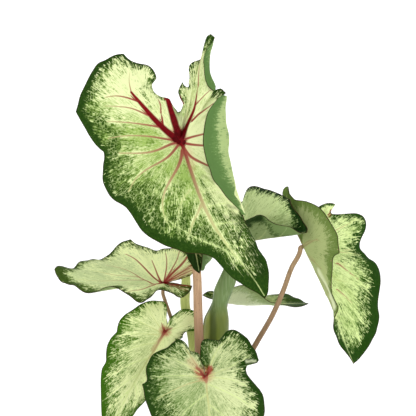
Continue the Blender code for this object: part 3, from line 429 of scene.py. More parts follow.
# Veins that are seen from the front: how wide they start and end in steps, their tone at the start and end
# (0 deep red, 0.5 tan, 1 pale green), and the points they pass.
SEEN_VEINS = {
    "main": (
        (9.5, 8, 0, 0, ((175.5, 138), (178.5, 140.5), (182.5, 142.5))),
        (8.5, 5, 0, 0.05, ((180.5, 141), (177.5, 131), (173.8, 120), (171, 110), (167.5, 98))),
        (7.5, 2.2, 0.02, 0.08,
         ((180, 141), (168, 132.5), (153.5, 118.5), (146, 109.5), (137.3, 99.7), (131.3, 92.2))),
        (1.2, 0.5, 0.3, 0.75, ((131.3, 92.2), (129.8, 86), (129, 79), (130, 72))),
        (6.5, 1.4, 0, 0.12,
         ((181, 141), (186, 127.5), (190, 119), (194.4, 108.5), (196.2, 99.5), (197.8, 90))),
        (1.3, 0.5, 0.2, 0.7, ((197.8, 90), (198.6, 79), (199.5, 68), (203, 55))),
        (2.2, 0.8, 0.08, 0.5, ((139.5, 102), (133, 99.6), (124, 97), (116, 96), (106, 97))),
        (1.8, 0.7, 0.2, 0.6, ((150, 116.5), (140, 111.6), (130, 108), (119, 106.6), (106, 106))),
        (2, 0.8, 0.2, 0.6, ((159, 127), (147, 125), (135, 123.3), (122, 122), (108, 121.5))),
        (2.3, 0.8, 0.18, 0.65,
         ((172, 140), (163, 138.6), (150, 136.5), (138, 135.8), (123, 136), (108, 138.5))),
        (2.2, 0.9, 0.06, 0.35, ((163.5, 128), (161.6, 116), (160.3, 106), (157, 99.5))),
        (2.2, 0.9, 0.1, 0.35, ((192, 121), (199, 114), (205.5, 109.5), (213, 104))),
        (1.5, 0.6, 0.15, 0.4, ((195.2, 106), (200, 100.5), (205, 95), (210, 90.5))),
        (2.6, 1.4, 0.16, 0.35, ((183, 140), (192, 137), (204, 134), (216, 130))),
        (2.8, 1.6, 0.14, 0.35, ((183, 143), (192, 144.6), (204, 145.6), (218, 146))),
        (3.2, 1.8, 0.18, 0.35, ((184, 148), (190, 156), (199, 161.5), (210, 166.5), (222, 171))),
        (10.5, 8.5, 0, 0.04, ((178.4, 134), (179.8, 138), (181.6, 142.5))),
        (4.6, 3.2, 0.05, 0.3, ((182.5, 145), (184, 149), (186.5, 157), (189, 165))),
        (3.4, 3.2, 0.32, 0.6, ((189, 165), (193, 177), (197, 188.5), (200.6, 198), (204.5, 207))),
        (3.2, 1.7, 0.6, 0.88,
         ((204.5, 207), (209.5, 217), (215, 227.5), (221.5, 237), (229, 247.5), (236, 256.5))),
        (1.6, 0.8, 0.9, 1, ((236, 256.5), (243, 265), (251, 275), (258, 284.5), (264.3, 295))),
        (3, 1.2, 0.18, 0.6, ((177, 142.5), (169, 145), (159, 149.6), (148, 152.6), (136, 153.3), (120, 153))),
        (2.8, 1, 0.2, 0.7,
         ((178, 145.5), (170, 155.5), (161, 161.8), (151, 167), (143, 172.3), (135, 180), (129, 191))),
        (3.6, 1.5, 0.18, 0.65,
         ((182.5, 150), (180.5, 161), (175.5, 171.5), (169.4, 182), (165, 191), (162.4, 201))),
        (1.5, 0.8, 0.65, 0.95, ((162.4, 201), (163, 210), (166, 220), (171, 229))),
        (2.4, 1.2, 0.6, 0.9, ((201, 205), (198, 213), (193.5, 221.5), (190, 231), (187, 239))),
        (1.5, 0.8, 0.8, 1, ((190, 190), (182.5, 200), (178.5, 212), (178, 224), (180, 234))),
        (1.2, 0.7, 1, 1, ((199, 193), (208, 190.5), (217, 190), (226, 192))),
        (1.2, 0.7, 1, 1, ((206, 208), (215, 205), (226, 203.5), (236, 205))),
        (1.1, 0.6, 1, 1, ((214, 225), (221, 223.5), (229, 222.5), (237, 222))),
        (0.9, 0.5, 1, 1, ((223, 240), (229, 243.5), (235, 246), (241, 247))),
        (0.8, 0.5, 1, 1, ((228, 247), (231, 259), (237, 268), (243, 276))),
        (1.3, 0.7, 1, 1,
         ((236, 257), (222, 248.5), (209, 243.5), (197, 238.5), (187, 232.5), (176, 226), (166, 219))),
        (2.2, 1.6, 0.03, 0.05, ((165.5, 97.6), (169, 99.4), (172.5, 104.5))),
        (2.6, 1.6, 0.03, 0.05, ((179.8, 97), (181.3, 100.8), (183.2, 103.4))),
    ),
    "left": (
        (4, 3, 0, 0.03, ((162, 282.6), (165, 283), (168, 283.2))),
        (2.4, 1.7, 0.11, 0.3, ((164, 283), (158, 284), (153, 284), (147.5, 281.6))),
        (1.6, 0.8, 0.25, 0.6, ((147.5, 281.6), (141, 278.4), (129.4, 271.4), (117, 267.5), (106, 265.5))),
        (1.3, 0.7, 0.4, 0.9, ((144, 280), (136, 277), (117, 275.7), (103, 272.8), (90, 270))),
        (1.4, 0.7, 0.4, 0.9, ((143, 280.4), (130, 280.2), (111, 281), (92, 281), (76, 279))),
        (1.1, 0.6, 0.35, 0.8, ((153, 284.5), (144, 284.6), (134, 285), (124, 287))),
        (1.2, 0.7, 0.25, 0.6, ((155, 285), (149.5, 286.6), (142, 289.7), (134, 290.7), (128, 292.5))),
        (2.2, 0.9, 0.12, 0.4, ((160, 282.6), (153, 277), (143.5, 267), (135, 259), (126, 254.3))),
        (2, 0.9, 0.13, 0.38, ((161, 282), (158, 276), (155.6, 269.5), (152, 260.6))),
        (1.8, 0.9, 0.14, 0.4, ((164, 282), (166, 272), (167, 262.5), (166, 253.5))),
        (1.6, 0.9, 0.15, 0.4, ((165, 281), (169.6, 273), (176.3, 262), (179.6, 252))),
        (2.6, 2, 0.11, 0.3, ((165, 281.5), (173.5, 272), (182, 264.5), (187, 257))),
        (1.6, 1, 0.15, 0.36, ((166, 282), (174, 276.6), (183, 271), (191.4, 265))),
        (1.3, 0.9, 0.15, 0.35, ((167, 282), (175.5, 278), (184, 273.4), (191.6, 270.6))),
        (2.2, 1.6, 0.09, 0.2, ((165, 283.2), (171, 283.6), (178, 283.8), (187, 284.4))),
        (1.2, 0.7, 0.3, 0.6, ((168, 284), (171, 287.5), (172.6, 291.5))),
        (1.2, 0.7, 0.3, 0.6, ((170, 284.3), (178, 288), (186, 289.5))),
    ),
    "lower_left": (
        (4, 2.2, 0.1, 0.5, ((165, 331), (162.5, 335.5), (159.5, 340.5))),
        (2.2, 1.6, 0.5, 0.85, ((159.5, 340.5), (156, 347.5), (152, 354), (147.5, 360), (140.5, 372))),
        (1.6, 0.8, 0.85, 1, ((140.5, 372), (134, 384), (127.5, 395), (121, 408), (115, 422), (109, 442))),
        (3, 1, 0.12, 0.5, ((164.5, 331), (163, 327.5), (161.5, 323))),
        (3, 1, 0.12, 0.5, ((165.5, 331), (168.5, 329.7), (172, 328))),
        (1.3, 0.6, 0.8, 1, ((162, 330), (156, 322), (150, 312), (146, 305))),
        (1.3, 0.6, 0.8, 1, ((160, 332), (148, 326), (136, 320), (126, 318))),
        (1.3, 0.6, 0.8, 1, ((160, 335), (146, 334), (131, 334), (119, 337))),
        (1.3, 0.6, 0.85, 1, ((157, 343), (142, 345), (126, 350), (109, 357))),
        (1.3, 0.6, 0.9, 1, ((149, 358), (136, 362), (120, 369), (104, 379))),
        (1.3, 0.6, 0.95, 1, ((140, 373), (129, 380), (116, 389), (103, 401))),
        (1.3, 0.6, 0.95, 1, ((131, 389), (120, 399), (110, 409), (103, 422))),
        (1.1, 0.6, 0.8, 1, ((168, 333), (174, 337), (178, 338))),
        (1.1, 0.6, 0.8, 1, ((168, 331), (180, 327), (196, 320))),
        (1.1, 0.6, 0.95, 1, ((135, 384), (137, 395), (135, 405))),
    ),
    "front": (
        (4.6, 2.4, 0.1, 0.45, ((205.5, 374), (206, 378.5), (206.5, 383))),
        (1.8, 1.8, 0.66, 0.95,
         ((206.5, 383), (207, 392), (208.4, 403), (209.6, 416), (210.5, 440), (211.5, 480))),
        (4, 2, 0.12, 0.35, ((204.5, 377), (200.5, 371.5), (196.5, 367))),
        (1.6, 0.7, 0.5, 0.9, ((197.5, 366.5), (192, 358.5), (187, 351), (182, 345))),
        (3.6, 1.6, 0.1, 0.3, ((206.5, 375), (209, 371), (211, 366))),
        (1.6, 0.7, 0.8, 1, ((210.5, 365.5), (214, 356), (220, 346), (228, 338))),
        (1.3, 0.6, 0.8, 1, ((201, 373), (188, 366), (173, 360), (160, 356))),
        (1.3, 0.6, 0.85, 1, ((202, 377), (186, 376), (168, 376), (152, 378))),
        (1.3, 0.6, 0.6, 0.8, ((203, 380), (188, 384), (172, 391), (158, 399))),
        (1.3, 0.6, 0.9, 1, ((207, 394), (196, 402), (184, 413), (168, 436))),
        (1.3, 0.6, 0.8, 1, ((209, 376), (222, 371), (236, 364), (250, 356))),
        (1.3, 0.6, 0.8, 1, ((209, 378), (222, 378), (235, 381), (246, 386))),
        (1.3, 0.6, 0.9, 1, ((208, 384), (222, 390), (238, 398), (254, 408))),
        (1.3, 0.6, 0.9, 1, ((208.5, 404), (222, 414), (236, 427), (248, 440))),
    ),
    "right": (
        (1.8, 1, 0.12, 0.2, ((303.5, 247), (309, 243.6), (317, 239))),
        (1.5, 0.8, 0.14, 0.25, ((304.5, 254), (308, 258.5), (314, 261), (321.5, 268.5))),
        (2, 0.8, 0.25, 0.5, ((303.4, 245), (308, 241.6), (313, 240.3), (320, 240.8))),
        (1.8, 0.8, 0.3, 0.5, ((307, 255.5), (311, 257.3), (315, 259.8))),
        (1.8, 0.8, 0.12, 0.6, ((332, 260.5), (337, 263), (341, 266), (350, 273), (358, 279))),
        (1.6, 0.7, 0.25, 0.7, ((332, 286), (338, 290), (344.6, 295.6), (352, 303))),
        (1.2, 0.6, 0.4, 0.8, ((338, 249.5), (345, 249.8), (352, 250))),
        (3, 2, 0.08, 0.15, ((330.2, 211), (329.6, 214), (328.8, 218))),
        (3.2, 1.6, 0.9, 1, ((336.5, 314), (339, 322), (342, 335), (345.8, 346.7), (352.8, 363))),
        (1.2, 0.6, 1, 1, ((338, 305), (350, 318), (356, 330), (360, 343))),
        (1.2, 0.6, 1, 1, ((335, 290), (348, 303), (358, 315), (366, 326))),
        (1.2, 0.6, 1, 1, ((345, 270), (355, 278), (364, 286), (372, 296))),
        (1.2, 0.6, 1, 1, ((343, 230), (350, 235), (356, 238), (360, 240))),
        (1.2, 0.6, 1, 1, ((340, 220), (348, 219), (356, 219), (363, 221))),
    ),
}
# Veins that are hidden or seen edge on: widths and tones as above, then edge point and share of the ray from
# the join to it, for each point they pass.
RAY_VEINS = {
    "right": (
        (2.6, 2, 0.2, 0.8, ((30, 0.02), (30, 0.35), (30, 0.7))),
        (2, 0.8, 0.1, 0.8, ((5, 0.02), (5, 0.4), (6, 0.85))),
        (2, 0.8, 0.1, 0.8, ((54, 0.02), (54, 0.5), (53, 0.9))),
        (1.8, 0.7, 0.15, 0.9, ((48, 0.02), (48, 0.45), (48, 0.9))),
        (1.6, 0.7, 0.2, 0.9, ((43, 0.02), (42, 0.45), (42, 0.9))),
        (1.4, 0.6, 0.7, 1, ((30, 0.3), (35, 0.5), (38, 0.92))),
        (1.4, 0.6, 0.7, 1, ((30, 0.45), (24, 0.65), (22, 0.92))),
        (1.4, 0.6, 0.5, 1, ((30, 0.22), (22, 0.5), (20, 0.92))),
    ),
    "back_right": (
        (3, 1.2, 0.2, 1, ((14, 0.02), (14, 0.4), (14, 0.96))),
        (2, 0.8, 0.15, 0.8, ((0, 0.02), (1, 0.5), (2, 0.9))),
        (2, 0.8, 0.15, 0.8, ((30, 0.02), (29, 0.5), (28, 0.9))),
        (1.6, 0.7, 0.4, 1, ((5, 0.02), (5, 0.5), (5, 0.92))),
        (1.6, 0.7, 0.4, 1, ((24, 0.02), (24, 0.5), (24, 0.92))),
        (1.6, 0.7, 0.6, 1, ((14, 0.25), (10, 0.6), (8, 0.94))),
        (1.6, 0.7, 0.6, 1, ((14, 0.25), (19, 0.5), (21, 0.92))),
        (1.6, 0.7, 0.8, 1, ((14, 0.55), (12, 0.8), (11, 0.94))),
        (1.6, 0.7, 0.8, 1, ((14, 0.55), (16, 0.7), (18, 0.92))),
    ),
    "back_low": (
        (2.8, 1.2, 0.2, 1, ((19, 0.02), (19, 0.4), (19, 0.96))),
        (1.8, 0.8, 0.15, 0.9, ((1, 0.02), (2, 0.5), (3, 0.9))),
        (1.8, 0.8, 0.15, 0.9, ((31, 0.02), (30, 0.5), (29, 0.9))),
        (1.5, 0.7, 0.4, 1, ((7, 0.02), (8, 0.5), (8, 0.92))),
        (1.5, 0.7, 0.4, 1, ((27, 0.02), (27, 0.5), (27, 0.92))),
        (1.5, 0.7, 0.6, 1, ((19, 0.2), (13, 0.5), (11, 0.92))),
        (1.5, 0.7, 0.6, 1, ((19, 0.2), (24, 0.5), (25, 0.92))),
        (1.5, 0.7, 0.8, 1, ((19, 0.5), (17, 0.7), (15, 0.92))),
        (1.5, 0.7, 0.8, 1, ((19, 0.5), (21, 0.7), (22, 0.92))),
    ),
    "small": (
        (1.6, 0.6, 0.2, 1, ((11, 0.02), (11, 0.5), (11, 0.95))),
        (1.5, 0.7, 0.3, 1, ((3, 0.02), (3, 0.5), (3, 0.9))),
        (1.5, 0.7, 0.5, 1, ((6, 0.02), (6, 0.5), (6, 0.9))),
        (1.5, 0.7, 0.6, 1, ((11, 0.3), (9, 0.6), (8, 0.92))),
        (1.5, 0.7, 0.6, 1, ((11, 0.3), (13, 0.6), (15, 0.92))),
        (1.5, 0.7, 0.3, 1, ((19, 0.02), (19, 0.5), (19, 0.9))),
    ),
}
# Border of each blade: edge point, width of the solid band in mm, how far inwards the net of cells reaches,
# and how green the middle is there, 0 to 1
BORDERS = {
    "main": (
        (0, 0.3, 2, 0.5), (3, 1, 5, 0.3), (8, 2, 7, 0.15), (13, 3.2, 9, 0.05), (16, 4.6, 12, 0.1),
        (19, 6, 16, 0.15), (22, 6.5, 22, 0.6), (25, 7, 24, 0.9), (28, 5.5, 28, 1), (30, 4.5, 26, 0.85),
        (34, 4.5, 33, 0.9), (38, 6.5, 38, 0.8), (42, 8.5, 44, 0.85), (46, 9, 50, 0.95), (49, 7, 44, 0.85),
        (51, 6.5, 30, 0.7), (53, 8.5, 26, 0.6), (55, 14, 15, 0.5), (56, 11, 12, 0.45), (57, 6.8, 11, 0.4),
        (58, 5.4, 10, 0.4), (59, 4.6, 10, 0.4), (60, 4, 10, 0.4), (61, 3.4, 9, 0.4), (62, 2.4, 8, 0.35),
        (64, 1.6, 5, 0.1), (66, 3, 4, 0.05), (68, 10, 10, 0.1), (72, 9, 9, 0.05), (76, 7, 7, 0.05),
        (79, 4, 6, 0.05), (81, 4, 5, 0.1), (85, 6, 8, 0.1), (92, 3, 7, 0.3), (97, 1.6, 7, 0.1),
        (103, 1, 5, 0.1), (108, 1.6, 8, 0.3), (114, 0.3, 2, 0.6),
    ),
    "left": (
        (0, 0.5, 1, 0.6), (5, 0.8, 3, 0.6), (10, 1.4, 5, 0.2), (14, 2, 8, 0.2), (17, 3, 9, 0.15),
        (21, 2, 8, 0.45), (26, 2.4, 8, 0.9), (29, 7, 6, 1), (33, 5, 7, 1), (37, 4, 7, 0.9), (41, 2.6, 7, 0.7),
        (46, 4.2, 8, 0.6), (50, 2, 7, 0.75), (55, 3, 8, 0.8), (57, 3.5, 8, 0.8), (60, 0.8, 1, 0.6),
    ),
    "lower_left": (
        (0, 0.5, 1, 0.4), (3, 1, 4, 0.2), (6, 1.6, 5, 0.15), (10, 2.6, 12, 0.35), (15, 4.8, 21, 0.5),
        (22, 5.6, 25, 0.45), (26, 5, 12, 0.35), (30, 1.6, 5, 0.1), (35, 1.4, 5, 0.05), (39, 1.6, 3, 0.1),
        (45, 2.6, 5, 0.1), (49, 1.8, 4, 0.2), (52, 0.5, 1, 0.4),
    ),
    "front": (
        (0, 0.5, 2, 0.8), (5, 1.3, 5, 0.3), (8, 2.6, 6, 0.2), (12, 4, 12, 0.6), (16, 5, 18, 0.9),
        (20, 5.8, 22, 0.95), (26, 7.5, 26, 0.85), (31, 7, 20, 0.4), (37, 6.5, 16, 0.3), (41, 4.4, 13, 0.35),
        (45, 5.6, 14, 0.45), (49, 5, 13, 0.6), (53, 3.6, 9, 0.55), (57, 2.4, 8, 0.7), (60, 3, 9, 0.8),
        (63, 1, 5, 0.8),
    ),
    "right": (
        (0, 1, 6, 0.5), (6, 3, 8, 0.7), (11, 1, 10, 0.8), (16, 1.8, 16, 0.9), (20, 1, 6, 0.5),
        (24, 1.2, 4, 0.3), (29, 5, 8, 0.4), (31, 7.5, 15, 0.5), (36, 9.5, 18, 0.4), (40, 8.5, 20, 0.4),
        (44, 5, 18, 0.45), (48, 3.6, 14, 0.4), (51, 0.8, 6, 0.3), (53, 1.4, 2, 0.2), (56, 1, 3, 0.4),
    ),
    "back_right": (
        (0, 1, 6, 0.5), (4, 1.2, 8, 0.5), (8, 2, 8, 0.6), (11, 10, 5, 0.8), (14, 9.5, 6, 0.8),
        (18, 3, 7, 0.5), (21, 2, 7, 0.3), (25, 3, 7, 0.3), (29, 4, 8, 0.4), (32, 1, 5, 0.5),
    ),
    "back_low": (
        (0, 2, 5, 0.6), (4, 3, 9, 0.8), (7, 2, 8, 0.6), (11, 3, 12, 0.6), (14, 6, 10, 0.7), (19, 9, 10, 0.8),
        (23, 5, 10, 0.6), (27, 3, 10, 0.5), (31, 2, 5, 0.6),
    ),
    "small": (
        (0, 2, 10, 0.8), (5, 6, 18, 0.9), (11, 8, 18, 0.9), (17, 3, 14, 0.8), (22, 2, 10, 0.8),
    ),
}
# Greens of each blade's upper face, as red, green and blue from 0 to 255: its palest middle, its greenest
# middle, the light cells of the net, the border band. The last number is how far sparse cells spread inwards.
# The greens also differ from blade to blade as painted light and shade, lighter or darker for how much light
# reaches each blade.
GREENS = {
    "main": ((222, 230, 172), (150, 178, 90), (102, 134, 50), (28, 58, 4), 0.19),
    "left": ((230, 238, 176), (188, 204, 146), (112, 138, 66), (54, 76, 22), 0),
    "lower_left": ((222, 230, 170), (146, 172, 98), (92, 128, 42), (50, 90, 4), 0.14),
    "front": ((204, 213, 158), (130, 152, 92), (78, 108, 40), (28, 57, 5), 0.1),
    "right": ((212, 228, 158), (132, 162, 80), (74, 108, 34), (26, 60, 2), 0.27),
    "back_right": ((212, 228, 164), (156, 182, 112), (88, 120, 52), (6, 40, 0), 0.06),
    "back_low": ((190, 206, 140), (134, 154, 88), (72, 98, 34), (46, 76, 8), 0.15),
    "small": ((130, 154, 90), (80, 108, 46), (46, 74, 16), (20, 44, 0), 0.2),
}
# Greens of its lower face: the pale of its net, its middle, its border. These too are partly painted light,
# most of all the pale lower face of the low blade at the back, which lies in shade.
UNDERSIDES = {
    "main": ((160, 180, 118), (92, 124, 66), (84, 116, 60)),
    "left": ((200, 212, 158), (150, 168, 112), (110, 130, 74)),
    "lower_left": ((196, 208, 150), (140, 160, 102), (104, 130, 66)),
    "front": ((176, 192, 136), (122, 144, 94), (96, 120, 72)),
    "right": ((168, 180, 120), (108, 130, 64), (96, 120, 56)),
    "back_right": ((134, 152, 100), (74, 96, 50), (118, 142, 86)),
    "back_low": ((214, 226, 184), (166, 186, 132), (140, 162, 102)),
    "small": ((170, 186, 136), (116, 138, 92), (84, 108, 60)),
}
# Scars and blots, and painted shadows where a blade or a rolled edge shades the blade under it (all those on
# the blade at the back right): width in steps, strength from 0 to 1, and the points they pass
SCARS_AND_SHADOWS = {
    "main": (
        (4.2, 0.3, ((230.5, 212.5), (235, 215.5), (241, 219))),
        (1.5, 1, ((241.4, 231), (239.8, 236), (238, 241.6))),
        (6.5, 0.35, ((177, 111), (180, 119), (182.5, 127))),
        (3, 0.45, ((228, 205), (232, 207), (238, 207.5))),
        (3.4, 0.3, ((203, 176), (209, 178), (214, 183))),
        (3, 0.4, ((222, 216), (229, 218), (236, 224))),
        (2.6, 0.4, ((231, 232), (236, 234), (238, 239))),
        (10, 0.62, ((251.5, 251), (256, 260), (262, 271))),
    ),
    "back_right": (
        (7.5, 1, ((246, 221.5), (252, 219), (260, 217.6))),
        (5, 0.9, ((245, 224), (250, 225))),
    ),
    "front": (
        (5, 0.3, ((204.5, 343), (207, 352), (208, 361))),
    ),
}
# Pink flushes, given in the same way
FLUSHES = {
    "main": (
        (15, 0.75, ((177, 135), (180, 139))),
        (9, 0.35, ((186, 146), (190, 158), (192, 168))),
    ),
    "left": (
        (9, 0.5, ((170, 280.5), (178, 275.5), (190, 268.5))),
        (3, 0.55, ((167, 283.4), (176, 283.8), (190, 285.5))),
        (5, 0.3, ((180, 289), (186, 290))),
    ),
    "lower_left": (
        (10, 0.8, ((164.5, 330.5), (165.5, 332))),
        (5, 0.45, ((163, 336), (158.5, 342), (153, 350))),
    ),
    "front": (
        (7, 0.8, ((197.5, 370.5), (201, 374), (205, 378.5), (208, 374), (209.5, 369))),
        (9, 0.4, ((191, 361.5), (195.5, 367.5))),
        (13, 0.6, ((202, 374), (207, 375))),
    ),
    "right": (
        (4, 0.5, ((330, 212), (329, 217))),
        (5, 0.25, ((332, 261), (342, 266))),
    ),
}
# Pale patches where an edge curls, given in the same way; the one on the right blade is painted light, made
# pale to make up for the shade that its curl lies in
PALES_AND_LIGHT = {
    "front": (
        (2.4, 0.7, ((246.5, 361.6), (251, 361.2), (255, 360.8))),
    ),
    "right": (
        (7, 0.9, ((319, 272), (325, 283), (329, 292), (334, 306))),
    ),
}
# The grid of each blade: distance between its columns at the edge in mm, and number of its levels
GRIDS = {
    "main": (1.95, 104), "left": (1.7, 84), "lower_left": (1.7, 90), "front": (1.7, 90),
    "right": (1.7, 90), "back_right": (1.7, 80), "back_low": (1.7, 76), "small": (1.6, 72),
}


def shade(red, green, blue):
    """A colour from its red, green and blue as a screen shows them, 0 to 255."""
    found = []
    for part in (red, green, blue):
        part /= 255.0
        found.append(part / 12.92 if part <= 0.04045 else ((part + 0.055) / 1.055) ** 2.4)
    return tuple(found)


def shade_and_fleck_tint(tint):
    """The tint darkened, for painted shade in hollows and for dark flecks."""
    return tuple(part * SHADE_AND_FLECK_SHARE for part in tint)


def colour(name, description, *tint):
    """A setting that holds a colour; its default is given as red, green and blue from 0 to 255."""
    default = shade(*tint)
    return bpy.props.FloatVectorProperty(name=name, description=description, default=default, subtype="COLOR")


def length(name, description, size):
    """A setting that holds a length; its default is given in mm."""
    return bpy.props.FloatProperty(name=name, description=description, default=size * MM, unit="LENGTH")


class LeafSettings(bpy.types.PropertyGroup):
    """Sizes and colours of the blades."""

    thickness: length("Thickness", "Thickness of a blade between its veins", 0.7)
    groove: length("Groove", "How deep the main veins lie in the upper face", 0.45)
    ridge: length("Ridge", "How far the veins stand out under the blade", 0.8)
    quilt: length("Quilt", "How far the blade swells between its veins", 0.55)
    wave: length("Wave", "How far the edge waves up and down", 0.5)
    vein_core: colour("Vein core", "Darkest red where the veins meet", 74, 0, 4)
    vein_red: colour("Vein red", "Deep red of the veins near the join", 118, 6, 16)
    vein_pink: colour("Vein pink", "Pink that the red fades to", 148, 76, 62)
    vein_tan: colour("Vein tan", "Tan of the midrib's middle", 172, 142, 104)
    vein_pale: colour("Vein pale", "Pale green of the outer veins", 204, 222, 146)
    edge_line: colour("Edge line", "Thin dark line along the edge", 50, 26, 16)
    # The curl's pale is partly painted light: on the right blade it lifts a curl that lies in shade
    flush: colour("Flush", "Pink flush about the join", 168, 62, 50)
    curl_and_light: colour("Curl", "Pale green where an edge curls", 226, 234, 190)
    # Scar greens also paint the shadows that a blade or a rolled edge casts on another blade
    scar_and_shadow_green: colour("Scar", "Dark green of blots and scars", 22, 44, 8)
    scar_and_shadow_green_below: colour("Scar below", "Dark green of blots on the lower face", 22, 48, 10)


class StalkSettings(bpy.types.PropertyGroup):
    """Sizes and colours of the stalks."""

    sides: bpy.props.IntProperty(name="Sides", description="Faces round a stalk", default=20, min=6)
    tan: colour("Tan", "Lit tan of a leaf stalk", 204, 168, 132)
    # Each stalk's darker colour serves its streaks and flecks and also the painted shade towards its foot
    brown: colour("Brown", "Brown of its fine streaks", 140, 104, 76)
    thin: colour("Thin stalk", "Duller tan of the thin stalks", 176, 146, 110)
    thin_dark: colour("Thin stalk's brown", "Brown of its streaks", 116, 88, 60)
    sheath_light: colour("Sheath light", "Yellow-green of a sheathed stalk", 204, 212, 130)
    sheath_dark: colour("Sheath dark", "Green of its streaks", 136, 156, 68)


class FlowerSettings(bpy.types.PropertyGroup):
    """Sizes and colours of the spathe and the spadix."""

    thickness: length("Thickness", "Thickness of the spathe", 0.8)
    tube: colour("Tube", "Olive of the rolled tube", 98, 112, 34)
    # Painted shade in the fold where the tube wraps over itself
    fold_shade: colour("Fold", "Dark green where the tube folds over itself", 62, 76, 16)
    tube_lit: colour("Tube lit", "Yellow of the tube's lit side", 158, 166, 78)
    limb: colour("Limb", "Grey-green of the open limb", 108, 134, 76)
    limb_line: colour("Limb lines", "Paler green of the limb's fine lines", 150, 170, 116)
    shadow: colour("Shadow", "Deep green of its broad patches", 66, 88, 38)
    cream: colour("Cream", "Cream of the spadix", 232, 222, 180)
    cream_dark: colour("Dark cream", "Straw between the flowers of the spadix", 206, 188, 132)
    floret: length("Floret", "Size of one flower of the spadix", 0.75)
    seed: bpy.props.IntProperty(name="Seed", description="Seed of the flowers' places", default=5)


class PotSettings(bpy.types.PropertyGroup):
    """Sizes and colours of the pot, the soil and the tuber."""

    sides: bpy.props.IntProperty(name="Sides", description="Faces round the pot", default=144, min=24)
    clay: colour("Clay", "Fired clay", 190, 112, 76)
    clay_dark: colour("Damp clay", "Clay that drinks from the soil", 150, 82, 54)
    bloom: colour("Bloom", "Lime that water leaves on clay", 214, 186, 164)
    earth: colour("Earth", "Peaty soil", 62, 46, 36)
    earth_lit: colour("Earth's fibres", "Lighter fibres in the soil", 104, 78, 58)
    crumb: length("Crumb", "Size of a crumb of soil", 1.5)
    crumbs: bpy.props.FloatProperty(
        name="Crumbs", description="Crumbs on a square metre of soil", default=95000.0
    )
    crumb_tint: colour("Crumb's brown", "Brown of the crumbs", 84, 60, 44)
    crumb_lit: colour("Crumb's fibres", "Lighter fibres in the crumbs", 132, 100, 72)
    grain: length("Grain", "Size of a white grain", 1.1)
    grains: bpy.props.FloatProperty(
        name="Grains", description="White grains on a square metre of soil", default=9000.0
    )
    grain_tint: colour("Grain's grey", "Grey-white of the grains", 222, 218, 208)
    grain_lit: colour("Grain's white", "White of the grains", 240, 238, 230)
    bark: colour("Bark", "Skin of the tuber", 110, 78, 54)
    bark_lit: colour("Bark's fibres", "Lighter fibres of the tuber's skin", 150, 116, 84)
    seed: bpy.props.IntProperty(name="Seed", description="Seed of the crumbs' places", default=11)


class StageSettings(bpy.types.PropertyGroup):
    """Floor, lights and camera."""

    floor: length("Floor", "Radius of the flat floor", 2400.0)
    wall: length("Wall", "Height of the round backdrop", 2600.0)
    key: bpy.props.FloatProperty(
        name="Key light", description="Power of the key light", default=13.0, unit="POWER"
    )
    fill: bpy.props.FloatProperty(
        name="Fill light", description="Power of the fill light", default=8.0, unit="POWER"
    )
    sky: bpy.props.FloatProperty(name="Sky", description="Strength of the even light", default=0.68)
    glow: bpy.props.FloatProperty(name="Glow", description="Light that the backdrop gives off", default=0.3)


class PlantSettings(bpy.types.PropertyGroup):
    """Everything that can be changed on the plant and its stage."""

    leaf: bpy.props.PointerProperty(type=LeafSettings)
    stalk: bpy.props.PointerProperty(type=StalkSettings)
    flower: bpy.props.PointerProperty(type=FlowerSettings)
    pot: bpy.props.PointerProperty(type=PotSettings)
    stage: bpy.props.PointerProperty(type=StageSettings)


